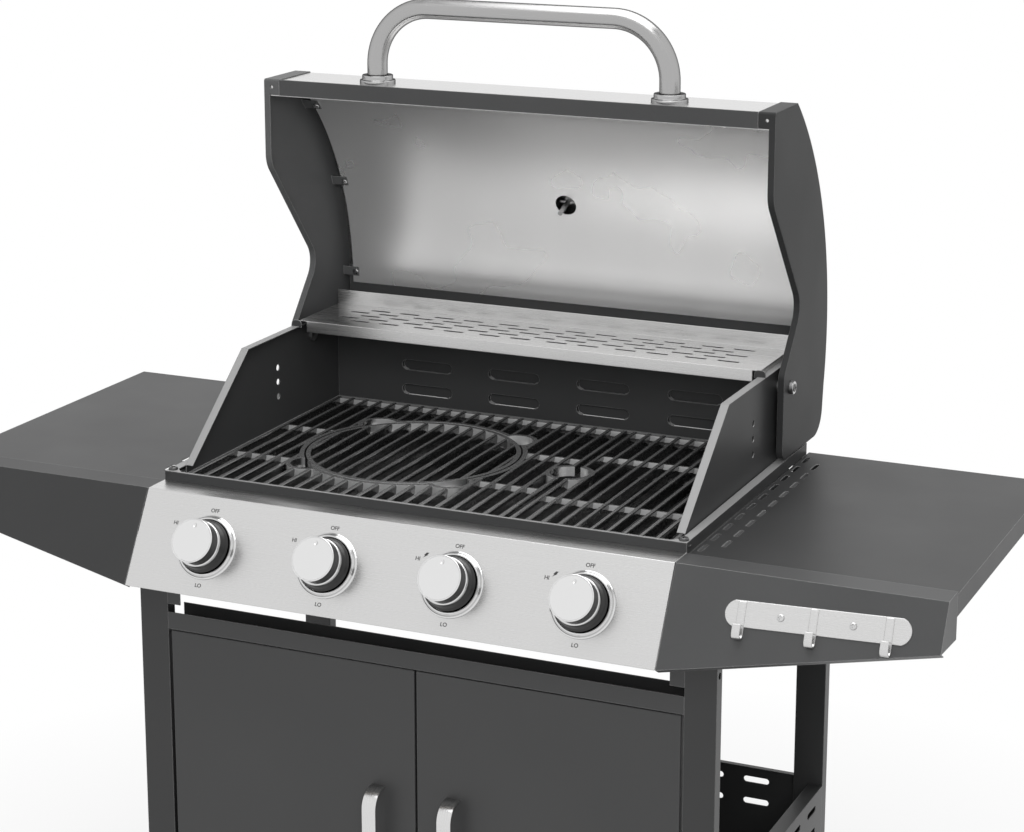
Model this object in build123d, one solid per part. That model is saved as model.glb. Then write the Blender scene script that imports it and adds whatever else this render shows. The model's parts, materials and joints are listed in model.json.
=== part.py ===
from build123d import *
import math
import os

# Gas barbecue grill on a cabinet cart. Millimetres, X to the right as the cook stands, Y to the back,
# Z up, floor at Z = 0. The lid is drawn closed and then swung open about its hinge, its rest position.

# ---- Driving dimensions ----
SHEET = 1.2              # folded steel sheet of the body
THIN = 0.8               # lid skin and lid liner
DOOR_SHEET = 1.0
GAP = 0.3                # air between bodies that pass each other
PIN_GAP = 0.05           # radial air round a pin, shaft or stem

TABLE_Z = 880            # cooking-height top of the side tables
TABLE_LONG = 300         # each table, out from the body
TABLE_FLANGE = 25
BODY_HALF = 330          # half width of tray and control panel, which the sizes across it follow
SIDE_GAP = 1             # between tray and tables or posts
CART_FRONT = -217
CART_REAR = 209
TABLE_REAR = 218

POST_WIDE = 38
POST_DEEP = 16
POST_WALL = 1.5
BASE_TOP = 106
BASE_DEEP = 24
RAIL_WIDE = 11
RAIL_TALL = 20
BEAM_Z = 695.5
BEAM_TALL = 21.5
BEAM_DEEP = 38
BEAM_HOLE_INSET = 38
BEAM_HOLE = 4
CORNER_BLOCK_HOLE = 2
POST_HOLE_Z = 744.5

SIDE_PANEL_TOP = 453
SIDE_PANEL_FLANGE = 18
BACK_PANEL_TOP = 457
BACK_PANEL_FLANGE = 7
VENT_LONG = 34
VENT_TALL = 8
VENT_ROWS = 2
VENT_ROW_PITCH = 29.5
VENT_DROP = 19
VENT_PITCH = 61.5

DOOR_GAP = 1             # half the slit between the doors
DOOR_BOTTOM_GAP = 4
DOOR_TOP_GAP = 1.5
DOOR_DEEP = 14
DOOR_EDGE_GAP = 3.5
DOOR_PIN_IN = 6          # hinge axis in from the door's edge
DOOR_PIN_RADIUS = 3
DOOR_PIN_LONG = 10
DOOR_HANDLE_X = 48.5
DOOR_HANDLE_WIDE = 18
DOOR_HANDLE_THICK = 3
DOOR_HANDLE_TOP = 544
DOOR_HANDLE_LONG = 170
DOOR_HANDLE_STAND = 28
DOOR_HANDLE_BEND = 22     # outside radius where the strap sweeps to the door

WHEEL_RADIUS = 30
WHEEL_WIDE = 22
WHEEL_HUB_GAP = 1
WHEEL_HUB_RADIUS = 9
WHEEL_DISH = 4
WHEEL_DISH_RADIUS = 21
WHEEL_EDGE = 2
AXLE_RADIUS = 3
FORK_SHEET = 2.5
FORK_TRAIL = 20
FORK_WIDE = 26
CASTER_PLATE = 75
CASTER_PLATE_THICK = 3
CASTER_BOSS_RADIUS = 14
CASTER_BOSS_TALL = 11
CASTER_STEM_RADIUS = 5

TRAY_FRONT = -215
TRAY_REAR = 211
TRAY_RIM_TALL = 14
TRAY_RIM_FLANGE = 3      # turned in along the front and rear
TRAY_FLANGE_CLEAR = 1     # between the tray's side flange and the firebox walls
TRAY_LEDGE_RISE = 5      # ledge top above the table top
TRAY_SIDE_WIDE = 16      # ledge and rim beside the opening
TRAY_FRONT_WIDE = 16
TRAY_REAR_WIDE = 17
GUSSET = 24
SCREW_RADIUS = 2
CORNER_BOLT_INSET = 6.4
CORNER_BOLT_BACK = 8.6
CORNER_BOLT_BORE = 3

BOX_GAP = 0.5            # burner box inside the tray's opening
BOX_BOTTOM = 775
BOX_FLANGE = 12
GRATE_LEDGE = 11
TENT_LEDGE_Z = 830
OUTLET_INSET = 130
OUTLET_Y = 120

GRATE_TOP = 888.5
BAR_TALL = 12
BAR_TOP = 6
BAR_FOOT = 3.6
BAR_SIDE = 8             # height at which the taper ends
BAR_EDGE = 1
CROSS_DROP = 2
CROSS_TOP = 3
CROSS_FOOT = 5.5         # the cast members lean back from their feet
CROSS_TALL = 6.5
GRATE_FRONT = -196
GRATE_REAR = 187
GRATE_INSETS = (6.5, 6)  # centre of the outermost bar in from the tray's opening, left and right
SPLIT_X = 105.25         # joint between the two grates
BORDER_GAP = 6.75        # border bar's centre from the joint
LEFT_BAYS = 20
RIGHT_BAYS = 10
INSERT_X = -104
INSERT_Y = -5
INSERT_RADIUS = 132
INSERT_GAP = 2
RING_WALL = 6
NOTCH_RADIUS = 22
LEFT_CROSS_ROWS = (-81, 49)      # from the insert's centre, beside it on the left and on the right
MIDDLE_CROSS_ROWS = (-73, 57)
RIGHT_CROSS_ROWS = (77, -100)
LIFT_Y = -8
LIFT_RADIUS = 24

WALL_INSET = 12          # outer face of the firebox side walls
WALL_TOP = 1007
WALL_FRONT_RISE = 10
WALL_SHOULDER = -49
WALL_FRONT_BACK = 27     # back from the tray's front
WALL_REAR_SET_IN = 8
WALL_FLANGE = 10
WALL_HOLE = 4
WALL_HOLE_Y = 39
WALL_HOLE_Z = (924, 943, 961.6)
TAB_AHEAD = 6             # the stop stands this far in front of the rack's corner
TAB_LONG = 14
TAB_TALL = 8.5
TAB_ROUND = 5
LOUVRE_COUNT = 4
LOUVRE_PITCH = 124
LOUVRE_Z = (905, 938)
LOUVRE_LONG = 74
LOUVRE_TALL = 16
LOUVRE_DEEP = 6

RACK_FRONT = 85
RACK_RISE = 6            # height of the turned-down edges that it stands on
RACK_REAR = 192
RACK_INSET = 8           # each end in from the wall's outer face
RACK_LIP = 14.5
RACK_LIP_INSET = 10.5
RACK_BACK_RISE = 19
RACK_SLOT_LONG = 28
RACK_SLOT_WIDE = 6
RACK_SHEET = 0.8
RACK_SLOT_PITCH = 45.6
RACK_PAIR_SHIFT = 2      # slots lie in pairs, each this much nearer its fellow
RACK_SLOT_COLUMNS = 12
RACK_SLOT_ROWS = 5
RACK_SLOT_ROW_PITCH = 15
RACK_SLOT_INSET = 27

PANEL_RISE = 3.2         # panel's top edge above the table top
PANEL_TOP_Y = -251.2
PANEL_LENGTH = 118.2     # down the slanted face
PANEL_LEAN = 29.45       # degrees from upright
PANEL_RETURN = 12
KNOB_PITCH = 157
KNOB_DOWN = 60
KNOB_FACE = 38.5         # cap face out from the panel
KNOB_CAP_RADIUS = 26
KNOB_SKIRT_RADIUS = 31.2
KNOB_RING_RADIUS = 27.5
KNOB_FOOT = 7
KNOB_SHOULDER = 18.5
KNOB_GRIP_FOOT = 24
KNOB_BORE_DEEP = 23
SKIRT_EDGE = 1.5
CAP_EDGE = 1
STEM_RADIUS = 4
STEM_HOLE = 6
STEM_IN = 24
BEZEL_BORE = 7
BEZEL_RADIUS = 38
BEZEL_EDGE = 1
BEZEL_LIP = (3, 2)       # outward from the rim at the lip's foot and at its top
BEZEL_RIM = 32
BEZEL_TALL = 6
BEZEL_FLOOR = 1.6

VALVE_RADIUS = 9
VALVE_FRONT = 6
VALVE_BACK = 48
VALVE_BORE = 32
MANIFOLD_RADIUS = 8
MANIFOLD_DROP = 15
MANIFOLD_IN = 25
INLET_INSET = 50
INLET_LONG = 28
INLET_RADIUS = 9
NOZZLE_RADIUS = 4
BURNER_RADIUS = 11
BURNER_WALL = 1.2
BURNER_FRONT = -229
BURNER_REAR = 165
AIR_SHUTTER = (8, 20)    # air opening of a burner, from its front end
TENT_HALF = 34
TENT_RISE = 24
TENT_SHEET = 1.0
GREASE_TOP = 768
GREASE_DEEP = 16
GREASE_OVERHANG = 30     # beyond the outlet on each side
GREASE_RUNNER = 10
GREASE_FRONT = -150

FASCIA_DROP = 56.6       # slanted length at the table's outer end
FASCIA_RETURN = 12
HOOK_RAIL_IN = 65        # from the table's inner edge
HOOK_RAIL_LONG = 202
HOOK_RAIL_DOWN = 41.5    # down to the middle line, halfway along
HOOK_RAIL_TILT = 1.9     # degrees, the outer end up with the fascia's taper
HOOK_RAIL_BULGE = 10     # how far each end bows out
HOOK_RAIL_WIDE = 28.5
HOOK_RAIL_THICK = 1.5
HOOK_PLACES = (18, 97, 178)      # from the rail's inner end
HOOK_WIDE = 9
HOOK_DOWN = 22.25        # middle line to the centre of the bend
HOOK_RADIUS = 5
HOOK_TIP = 9
HOOK_SCREW_PLACES = (61.2, 139.7)
TABLE_SLOT_LONG = 25
TABLE_SLOT_WIDE = 5
OUTER_SLOT_IN = 26
OUTER_SLOTS = 9
OUTER_SLOT_PITCH = 40
INNER_SLOT_IN = 7
INNER_SLOTS = 10
INNER_SLOT_PITCH = 41

HINGE_Y = 130
HINGE_Z = 985
HINGE_RADIUS = 4
HINGE_HEAD_RADIUS = 8
HINGE_HEAD_TALL = 4
LID_OVERLAP = 3          # lid ends out beyond the body's width
LID_BOTTOM = 903
LID_FRONT = -213
LID_BROW_Z = 984         # where the upright front meets the dome
LID_CROWN = (-60, 1097.5)
LID_TAIL = (160, 1119)
LID_REAR_TOP = (218, 1112)
LID_REAR_FOOT = (216, 960)
LID_NOTCH_FOOT = (112, 960)
LID_NOTCH_TOP = (37.5, 1022)
LID_CHEEK_FOOT = (-106.5, 903)
LID_CORNERS = (32, 14, 10, 30, 35, 3)
END_FLANGE = 21
END_FLANGE_NARROW = 8
SKIN_REAR_Z = 1070
SKIN_LIP_Y = -192.2
SKIN_SET_IN = 0.1        # air between an end's flange and the skin inside it
LINER_SET_IN = 20
LINER_INSET = 15         # in from the lid's ends
LINER_REAR_Y = 85
LINER_TAB_WIDE = 12
LINER_TAB_LAP = 9        # tab under the liner's edge
REAR_PANEL_LAP = 24      # under the liner's rear edge
REAR_PANEL_OUT = 6       # beyond the liner's side edges
LINER_SCREW_Y = (-168, -57, 70)
LINER_SCREW_RADIUS = 2
LINER_SCREW_HEAD = 4
TRIM_DEEP = 19.8
HANDLE_HALF = 191.6
HANDLE_Z = 936
HANDLE_RADIUS = 12.5
HANDLE_WALL = 1.5
HANDLE_STAND = 94.8
HANDLE_BEND = 70.6
COLLAR_RADII = (22, 19)
COLLAR_TALL = (5, 6)
GAUGE_Y = -56
GAUGE_RADIUS = 30
GAUGE_TALL = 12
GAUGE_STUD_RADIUS = 3
GAUGE_HOLE = 14          # in the liner
GAUGE_STUD_HOLE = 5      # in the skin
WING_SPAN = 22
WING_SHEET = 2.4

# ---- Sizes that follow ----
POST_IN = BODY_HALF + SIDE_GAP
BEAM_HOLE_X = BODY_HALF - BEAM_HOLE_INSET
POST_OUT = POST_IN + POST_WIDE
BASE_BOTTOM = BASE_TOP - BASE_DEEP
TABLE_UNDER = TABLE_Z - SHEET
TABLE_OUT = POST_IN + TABLE_LONG
LEDGE_TOP = TABLE_Z + TRAY_LEDGE_RISE
RIM_TOP = TABLE_Z + TRAY_RIM_TALL
DOOR_BOTTOM = BASE_TOP + DOOR_BOTTOM_GAP
DOOR_TOP = BEAM_Z - DOOR_TOP_GAP
DOOR_EDGE = POST_IN - DOOR_EDGE_GAP
DOOR_PIN_X = DOOR_EDGE - DOOR_PIN_IN
DOOR_PIN_Y = CART_FRONT + DOOR_PIN_IN
TRAY_OPEN_X = BODY_HALF - TRAY_SIDE_WIDE
TRAY_OPEN_FRONT = TRAY_FRONT + TRAY_FRONT_WIDE
TRAY_OPEN_REAR = TRAY_REAR - TRAY_REAR_WIDE
CORNER_BOLT_X = BODY_HALF - CORNER_BOLT_INSET
CORNER_BOLT_Y = TRAY_FRONT + CORNER_BOLT_BACK
BOX_HALF = TRAY_OPEN_X - BOX_GAP
BOX_FRONT = TRAY_OPEN_FRONT + BOX_GAP
BOX_REAR = TRAY_OPEN_REAR - BOX_GAP
BOX_TOP = LEDGE_TOP - SHEET
OUTLET_X = BODY_HALF - OUTLET_INSET
GREASE_HALF = OUTLET_X + GREASE_OVERHANG
GRATE_FOOT = GRATE_TOP - BAR_TALL
LEFT_GRATE_X = GRATE_INSETS[0] - TRAY_OPEN_X
RIGHT_GRATE_X = TRAY_OPEN_X - GRATE_INSETS[1]
WALL_OUT = BODY_HALF - WALL_INSET
TRAY_SIDE_FLANGE = WALL_INSET - TRAY_FLANGE_CLEAR
TAB_FRONT = RACK_FRONT - TAB_AHEAD
RACK_SLOT_FRONT = RACK_FRONT + RACK_SLOT_INSET
WALL_FRONT = TRAY_FRONT + WALL_FRONT_BACK
WALL_REAR = TRAY_REAR - WALL_REAR_SET_IN
RACK_HALF = WALL_OUT - RACK_INSET
RACK_LIP_HALF = RACK_HALF - RACK_LIP_INSET
LID_HALF = BODY_HALF + LID_OVERLAP
LINER_HALF = LID_HALF - LINER_INSET
LINER_TAB_REACH = LINER_HALF - LINER_TAB_LAP
LINER_SCREW_X = LINER_TAB_REACH + LINER_TAB_LAP / 2
TRIM_HALF = LID_HALF - END_FLANGE - GAP
KNOB_X = tuple(KNOB_PITCH * step for step in (-1.5, -0.5, 0.5, 1.5))
INLET_X = INLET_INSET - BODY_HALF
HOOK_RAIL_X = POST_IN + HOOK_RAIL_IN
HOOK_RAIL_HALF = HOOK_RAIL_LONG / 2
OUTER_SLOT_X = POST_IN + OUTER_SLOT_IN
INNER_SLOT_X = POST_IN + INNER_SLOT_IN
CASTER_X = POST_OUT - CASTER_PLATE / 2
CASTER_Y = (CART_FRONT + CASTER_PLATE / 2, CART_REAR - CASTER_PLATE / 2)
HINGE = Axis((0, HINGE_Y, HINGE_Z), (1, 0, 0))
PANEL_TOP_Z = TABLE_Z + PANEL_RISE
LEAN = math.radians(PANEL_LEAN)
PANEL = Plane(origin=(0, PANEL_TOP_Y, PANEL_TOP_Z), x_dir=(1, 0, 0),
              z_dir=(0, -math.cos(LEAN), math.sin(LEAN)))


# ---- Helpers ----
def block(x, y, z):
    """A box between pairs of limits, in any order."""
    spans = [sorted(pair) for pair in (x, y, z)]
    centre = [(low + high) / 2 for low, high in spans]
    return Pos(*centre) * Box(*[high - low for low, high in spans])


def rod(start, direction, radius, length):
    """A round bar from a point."""
    return Plane(origin=start, z_dir=direction) * Cylinder(
        radius, length, align=(Align.CENTER, Align.CENTER, Align.MIN))


def both_sides(shape):
    """A shape and its mirror image across the middle of the grill."""
    return [shape, mirror(shape, about=Plane.YZ)]


def side_face(points):
    """A closed outline of (Y, Z) points."""
    return Plane.YZ * make_face(Polyline(*points, close=True))


def along_x(face, x0, x1):
    """An outline in the Y-Z plane drawn out between two X."""
    return Pos(x0, 0, 0) * extrude(face, amount=x1 - x0, dir=(1, 0, 0))


def mitred(points, depth):
    """The same open line moved to its left by a depth, with mitred corners."""
    lines = []
    for (y0, z0), (y1, z1) in zip(points, points[1:]):
        length = math.hypot(y1 - y0, z1 - z0)
        step_y = -(z1 - z0) / length * depth
        step_z = (y1 - y0) / length * depth
        lines.append(((y0 + step_y, z0 + step_z), (y1 + step_y, z1 + step_z)))
    moved = [lines[0][0]]
    for (a, b), (c, d) in zip(lines, lines[1:]):
        ab = (b[0] - a[0], b[1] - a[1])
        cd = (d[0] - c[0], d[1] - c[1])
        share = ((c[0] - a[0]) * cd[1] - (c[1] - a[1]) * cd[0]) / (ab[0] * cd[1] - ab[1] * cd[0])
        moved.append((a[0] + share * ab[0], a[1] + share * ab[1]))
    moved.append(lines[-1][1])
    return moved


def folded(points, thickness, x0, x1):
    """A folded sheet along X, from its outer (Y, Z) line and the sheet to the line's left."""
    return along_x(side_face(points + mitred(points, thickness)[::-1]), x0, x1)


def slots(places, long_way, short_way, depth, turned=False):
    """Round-ended cutters along X, or along Y if turned, at (x, y, z) places."""
    turn = 90 if turned else 0
    outline = Rot(0, 0, turn) * SlotOverall(long_way, short_way)
    return [Pos(*place) * extrude(outline, amount=depth, both=True) for place in places]


def spread(count, pitch):
    """Places at one pitch, centred on zero."""
    return [(index - (count - 1) / 2) * pitch for index in range(count)]


def on_panel(x, down, out=0):
    """A place on the slanted front, square to it."""
    return PANEL.location * Pos(x, -down, out)


def turned_profile(points):
    """A solid of revolution about its own Z from (radius, height) points."""
    return revolve(Plane.XZ * make_face(Polyline(*points, close=True)), Axis.Z)


# ---- Cart ----
def posts(front):
    y0, y1 = front, front + POST_DEEP
    tube = block((POST_IN, POST_OUT), (y0, y1), (BASE_BOTTOM, TABLE_UNDER))
    tube -= block((POST_IN + POST_WALL, POST_OUT - POST_WALL), (y0 + POST_WALL, y1 - POST_WALL),
                  (BASE_BOTTOM, TABLE_UNDER))
    return tube


def front_posts():
    hole = rod((POST_OUT - POST_WALL * 2, CART_FRONT + POST_DEEP / 2, POST_HOLE_Z), (1, 0, 0), BEAM_HOLE,
               POST_WALL * 3)
    return both_sides(posts(CART_FRONT) - hole)


def rear_posts():
    return both_sides(posts(CART_REAR - POST_DEEP))


def front_crossbeam():
    y0, y1 = CART_FRONT, CART_FRONT + BEAM_DEEP
    channel = block((-POST_IN, POST_IN), (y0, y1), (BEAM_Z, BEAM_Z + BEAM_TALL))
    channel -= block((-POST_IN, POST_IN), (y0 + SHEET, y1 - SHEET), (BEAM_Z + SHEET, BEAM_Z + BEAM_TALL))
    for x in (-BEAM_HOLE_X, BEAM_HOLE_X):
        channel -= rod((x, (y0 + y1) / 2, BEAM_Z - SHEET), (0, 0, 1), BEAM_HOLE, SHEET * 3)
    return [channel]


def upper_frame_rails():
    y0, y1 = CART_REAR - POST_DEEP, CART_REAR
    rear = block((-POST_IN, POST_IN), (y0, y1), (BEAM_Z, BEAM_Z + BEAM_TALL))
    rear -= block((-POST_IN, POST_IN), (y0 + POST_WALL, y1 - POST_WALL),
                  (BEAM_Z + POST_WALL, BEAM_Z + BEAM_TALL - POST_WALL))
    inner = (INNER_SLOT_X + OUTER_SLOT_X) / 2 - RAIL_WIDE / 2
    foot, long_way = TABLE_UNDER - RAIL_TALL, (CART_FRONT + POST_DEEP, y0)
    side = block((inner, inner + RAIL_WIDE), long_way, (foot, TABLE_UNDER))
    side -= block((inner + POST_WALL, inner + RAIL_WIDE - POST_WALL), long_way,
                  (foot + POST_WALL, TABLE_UNDER - POST_WALL))
    return [rear] + both_sides(side)


def side_panel():
    """The right one: an upright sheet between the posts with an inward flange above and below."""
    y0, y1 = CART_FRONT + POST_DEEP, CART_REAR - POST_DEEP
    panel = block((POST_OUT - SHEET, POST_OUT), (y0, y1), (BASE_BOTTOM, SIDE_PANEL_TOP))
    panel += block((POST_OUT - SIDE_PANEL_FLANGE, POST_OUT), (y0, y1),
                   (SIDE_PANEL_TOP - SHEET, SIDE_PANEL_TOP))
    panel += block((POST_IN, POST_OUT), (y0, y1), (BASE_BOTTOM, BASE_BOTTOM + SHEET))
    columns = spread(int((y1 - y0 - VENT_LONG) / VENT_PITCH) + 1, VENT_PITCH)
    for row in range(VENT_ROWS):
        z = SIDE_PANEL_TOP - VENT_DROP - row * VENT_ROW_PITCH
        for y in columns:
            cutter = Plane.YZ * extrude(SlotOverall(VENT_LONG, VENT_TALL), amount=SHEET, both=True)
            panel -= Pos(POST_OUT - SHEET / 2, (y0 + y1) / 2 + y, z) * cutter
    return panel


def left_side_panel():
    return [mirror(side_panel(), about=Plane.YZ)]


def right_side_panel():
    return [side_panel()]


def back_panel():
    y0 = CART_REAR - BACK_PANEL_FLANGE
    panel = block((-POST_IN, POST_IN), (CART_REAR - SHEET, CART_REAR), (BASE_TOP, BACK_PANEL_TOP))
    panel += block((-POST_IN, POST_IN), (y0, CART_REAR), (BACK_PANEL_TOP - SHEET, BACK_PANEL_TOP))
    columns = spread(int((2 * POST_IN - VENT_LONG) / VENT_PITCH), VENT_PITCH)
    for row in range(VENT_ROWS):
        z = BACK_PANEL_TOP - VENT_DROP - row * VENT_ROW_PITCH
        for x in columns:
            cutter = Plane.XZ * extrude(SlotOverall(VENT_LONG, VENT_TALL), amount=SHEET, both=True)
            panel -= Pos(x, CART_REAR - SHEET / 2, z) * cutter
    return [panel]


def base_shelf():
    shelf = block((-POST_IN, POST_IN), (CART_FRONT, CART_REAR), (BASE_BOTTOM, BASE_TOP))
    shelf -= block((-POST_IN + SHEET, POST_IN - SHEET), (CART_FRONT + SHEET, CART_REAR - SHEET),
                   (BASE_BOTTOM, BASE_TOP - SHEET))
    for x in (-POST_IN / 3, POST_IN / 3):
        shelf += block((x - SHEET, x + SHEET), (CART_FRONT, CART_REAR),
                       (BASE_BOTTOM + BASE_DEEP / 3, BASE_TOP))
    return [shelf]


def doors(sign):
    """A folded pan hung on pins at its outer edge, with its edge flanges turned inwards."""
    y0, y1 = CART_FRONT, CART_FRONT + DOOR_DEEP
    pan = block((DOOR_GAP, DOOR_EDGE), (y0, y1), (DOOR_BOTTOM, DOOR_TOP))
    pan -= block((DOOR_GAP + DOOR_SHEET, DOOR_EDGE - DOOR_SHEET), (y0 + DOOR_SHEET, y1),
                 (DOOR_BOTTOM + DOOR_SHEET, DOOR_TOP - DOOR_SHEET))
    pan -= rod((DOOR_PIN_X, DOOR_PIN_Y, DOOR_BOTTOM - 1), (0, 0, 1), DOOR_PIN_RADIUS + PIN_GAP,
               DOOR_TOP - DOOR_BOTTOM + 2)
    return pan if sign > 0 else mirror(pan, about=Plane.YZ)


def left_door():
    return [doors(-1)]


def right_door():
    return [doors(1)]


def door_handle(sign):
    x = sign * DOOR_HANDLE_X
    ends = (DOOR_HANDLE_TOP - DOOR_HANDLE_LONG, DOOR_HANDLE_TOP)
    spans = (x - DOOR_HANDLE_WIDE / 2, x + DOOR_HANDLE_WIDE / 2)
    strap = block(spans, (CART_FRONT - DOOR_HANDLE_STAND, CART_FRONT), ends)
    strap = fillet(strap.edges().filter_by(Axis.X).group_by(Axis.Y)[0], DOOR_HANDLE_BEND)
    hollow = block(spans, (CART_FRONT - DOOR_HANDLE_STAND + DOOR_HANDLE_THICK, CART_FRONT),
                   (ends[0] + DOOR_HANDLE_THICK, ends[1] - DOOR_HANDLE_THICK))
    bends = hollow.edges().filter_by(Axis.X).group_by(Axis.Y)[0]
    return [strap - fillet(bends, DOOR_HANDLE_BEND - DOOR_HANDLE_THICK)]


def left_door_handle():
    return door_handle(-1)


def right_door_handle():
    return door_handle(1)


# ---- Casters ----
def caster_mounts():
    """A plate under each corner of the cart with the bearing socket of its swivel."""
    mounts = []
    for y in CASTER_Y:
        half = CASTER_PLATE / 2
        plate = block((CASTER_X - half, CASTER_X + half), (y - half, y + half),
                      (BASE_BOTTOM - CASTER_PLATE_THICK, BASE_BOTTOM))
        foot = BASE_BOTTOM - CASTER_PLATE_THICK - CASTER_BOSS_TALL
        plate += rod((CASTER_X, y, foot), (0, 0, 1), CASTER_BOSS_RADIUS, CASTER_BOSS_TALL)
        plate -= rod((CASTER_X, y, foot), (0, 0, 1), CASTER_STEM_RADIUS + PIN_GAP,
                     CASTER_BOSS_TALL + CASTER_PLATE_THICK / 2)
        mounts += both_sides(plate)
    return mounts


def caster_fork(sign_x, y):
    x = sign_x * CASTER_X
    crown_top = BASE_BOTTOM - CASTER_PLATE_THICK - CASTER_BOSS_TALL - GAP
    crown_foot = crown_top - FORK_SHEET
    trail_y = y + FORK_TRAIL
    half = FORK_WIDE / 2 + FORK_SHEET
    cheek = Plane.YZ * make_hull([
        *(Pos(y, crown_foot) * Rectangle(2 * CASTER_BOSS_RADIUS, FORK_SHEET * 2)).edges(),
        *(Pos(trail_y, WHEEL_RADIUS) * Circle(AXLE_RADIUS * 2.5)).edges()])
    crown_y = (y - CASTER_BOSS_RADIUS, y + CASTER_BOSS_RADIUS)
    fork = block((x - half, x + half), crown_y, (crown_foot, crown_top))
    fork += [along_x(cheek, x - half, x - half + FORK_SHEET), along_x(cheek, x + half - FORK_SHEET, x + half)]
    fork += rod((x, y, crown_foot), (0, 0, 1), CASTER_STEM_RADIUS,
                FORK_SHEET + GAP + CASTER_BOSS_TALL + CASTER_PLATE_THICK / 2 - GAP * 2)
    fork += rod((x - half, trail_y, WHEEL_RADIUS), (1, 0, 0), AXLE_RADIUS, 2 * half)
    return [fork]


def caster_wheel(sign_x, y):
    x = sign_x * CASTER_X
    half = WHEEL_WIDE / 2
    hub = FORK_WIDE / 2 - WHEEL_HUB_GAP
    bore = AXLE_RADIUS + PIN_GAP
    outline = [(bore, -hub), (WHEEL_HUB_RADIUS, -hub), (WHEEL_HUB_RADIUS, WHEEL_DISH - half),
               (WHEEL_DISH_RADIUS, WHEEL_DISH - half), (WHEEL_DISH_RADIUS + WHEEL_EDGE, -half),
               (WHEEL_RADIUS - WHEEL_EDGE, -half), (WHEEL_RADIUS, WHEEL_EDGE - half)]
    outline += [(radius, -height) for radius, height in outline[::-1]]
    return [Pos(x, y + FORK_TRAIL, WHEEL_RADIUS) * Rot(0, 90, 0) * turned_profile(outline)]


# ---- Firebox ----
def firebox_tray():
    """The frame round the burner box: a ledge, an upright rim with a turned-in edge, corner gussets."""
    outer_x, outer_y = (-BODY_HALF, BODY_HALF), (TRAY_FRONT, TRAY_REAR)
    inner_x = (-BODY_HALF + SHEET, BODY_HALF - SHEET)
    inner_y = (TRAY_FRONT + SHEET, TRAY_REAR - SHEET)
    flange_x = (-BODY_HALF + TRAY_SIDE_FLANGE, BODY_HALF - TRAY_SIDE_FLANGE)
    flange_y = (TRAY_FRONT + TRAY_RIM_FLANGE, TRAY_REAR - TRAY_RIM_FLANGE)
    tray = block(outer_x, outer_y, (TABLE_Z, RIM_TOP))
    tray -= block(inner_x, inner_y, (TABLE_Z, LEDGE_TOP - SHEET))
    tray -= block(inner_x, inner_y, (LEDGE_TOP, RIM_TOP - SHEET))
    tray -= block(flange_x, flange_y, (LEDGE_TOP, RIM_TOP))
    tray -= block((-TRAY_OPEN_X, TRAY_OPEN_X), (TRAY_OPEN_FRONT, TRAY_OPEN_REAR), (TABLE_Z, RIM_TOP))
    corner = [(BODY_HALF, TRAY_FRONT), (BODY_HALF - GUSSET, TRAY_FRONT), (BODY_HALF, TRAY_FRONT + GUSSET)]
    gusset = Pos(0, 0, RIM_TOP - SHEET) * extrude(make_face(Polyline(*corner, close=True)), amount=SHEET)
    tray += both_sides(gusset)
    bore = rod((CORNER_BOLT_X, CORNER_BOLT_Y, LEDGE_TOP), (0, 0, 1), CORNER_BOLT_BORE, TRAY_RIM_TALL)
    tray -= both_sides(bore)
    return [tray]


def grease_runners():
    """Z-shaped rails under the burner box that carry the grease tray's edges."""
    inner = GREASE_HALF + GAP
    outer = GREASE_HALF + GREASE_RUNNER + GAP
    shelf_top = GREASE_TOP - SHEET - GAP
    rail = block((inner, outer + SHEET), (GREASE_FRONT, BOX_REAR), (shelf_top - SHEET, shelf_top))
    rail += block((outer, outer + SHEET), (GREASE_FRONT, BOX_REAR), (shelf_top, BOX_BOTTOM))
    return both_sides(rail)


def burner_box():
    y0, y1 = BOX_FRONT, BOX_REAR
    inner_x = (-BOX_HALF + SHEET, BOX_HALF - SHEET)
    inner_y = (y0 + SHEET, y1 - SHEET)
    ledge_x = (-BOX_HALF + GRATE_LEDGE, BOX_HALF - GRATE_LEDGE)
    ledge_y = (y0 + GRATE_LEDGE, y1 - GRATE_LEDGE)
    box = block((-BOX_HALF - BOX_FLANGE, BOX_HALF + BOX_FLANGE), (y0 - BOX_FLANGE, y1 + BOX_FLANGE),
                (BOX_TOP - SHEET, BOX_TOP))
    box += block((-BOX_HALF, BOX_HALF), (y0, y1), (BOX_BOTTOM, BOX_TOP))
    box -= block(inner_x, inner_y, (BOX_BOTTOM + SHEET, GRATE_FOOT - SHEET))
    box -= block(inner_x, inner_y, (GRATE_FOOT, BOX_TOP))
    box -= block(ledge_x, ledge_y, (GRATE_FOOT - SHEET, BOX_TOP))
    for low, high in ((y0, y0 + GRATE_LEDGE), (y1 - GRATE_LEDGE, y1)):
        box += block((-BOX_HALF, BOX_HALF), (low, high), (TENT_LEDGE_Z - SHEET, TENT_LEDGE_Z))
    box -= block((-OUTLET_X, OUTLET_X), (-OUTLET_Y, OUTLET_Y), (BOX_BOTTOM, BOX_BOTTOM + SHEET))
    box += grease_runners()
    for x in KNOB_X:
        box -= rod((x, y0 - SHEET, nozzle_point(x)[2]), (0, 1, 0), BURNER_RADIUS + PIN_GAP, SHEET * 3)
    return [box]


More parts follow.
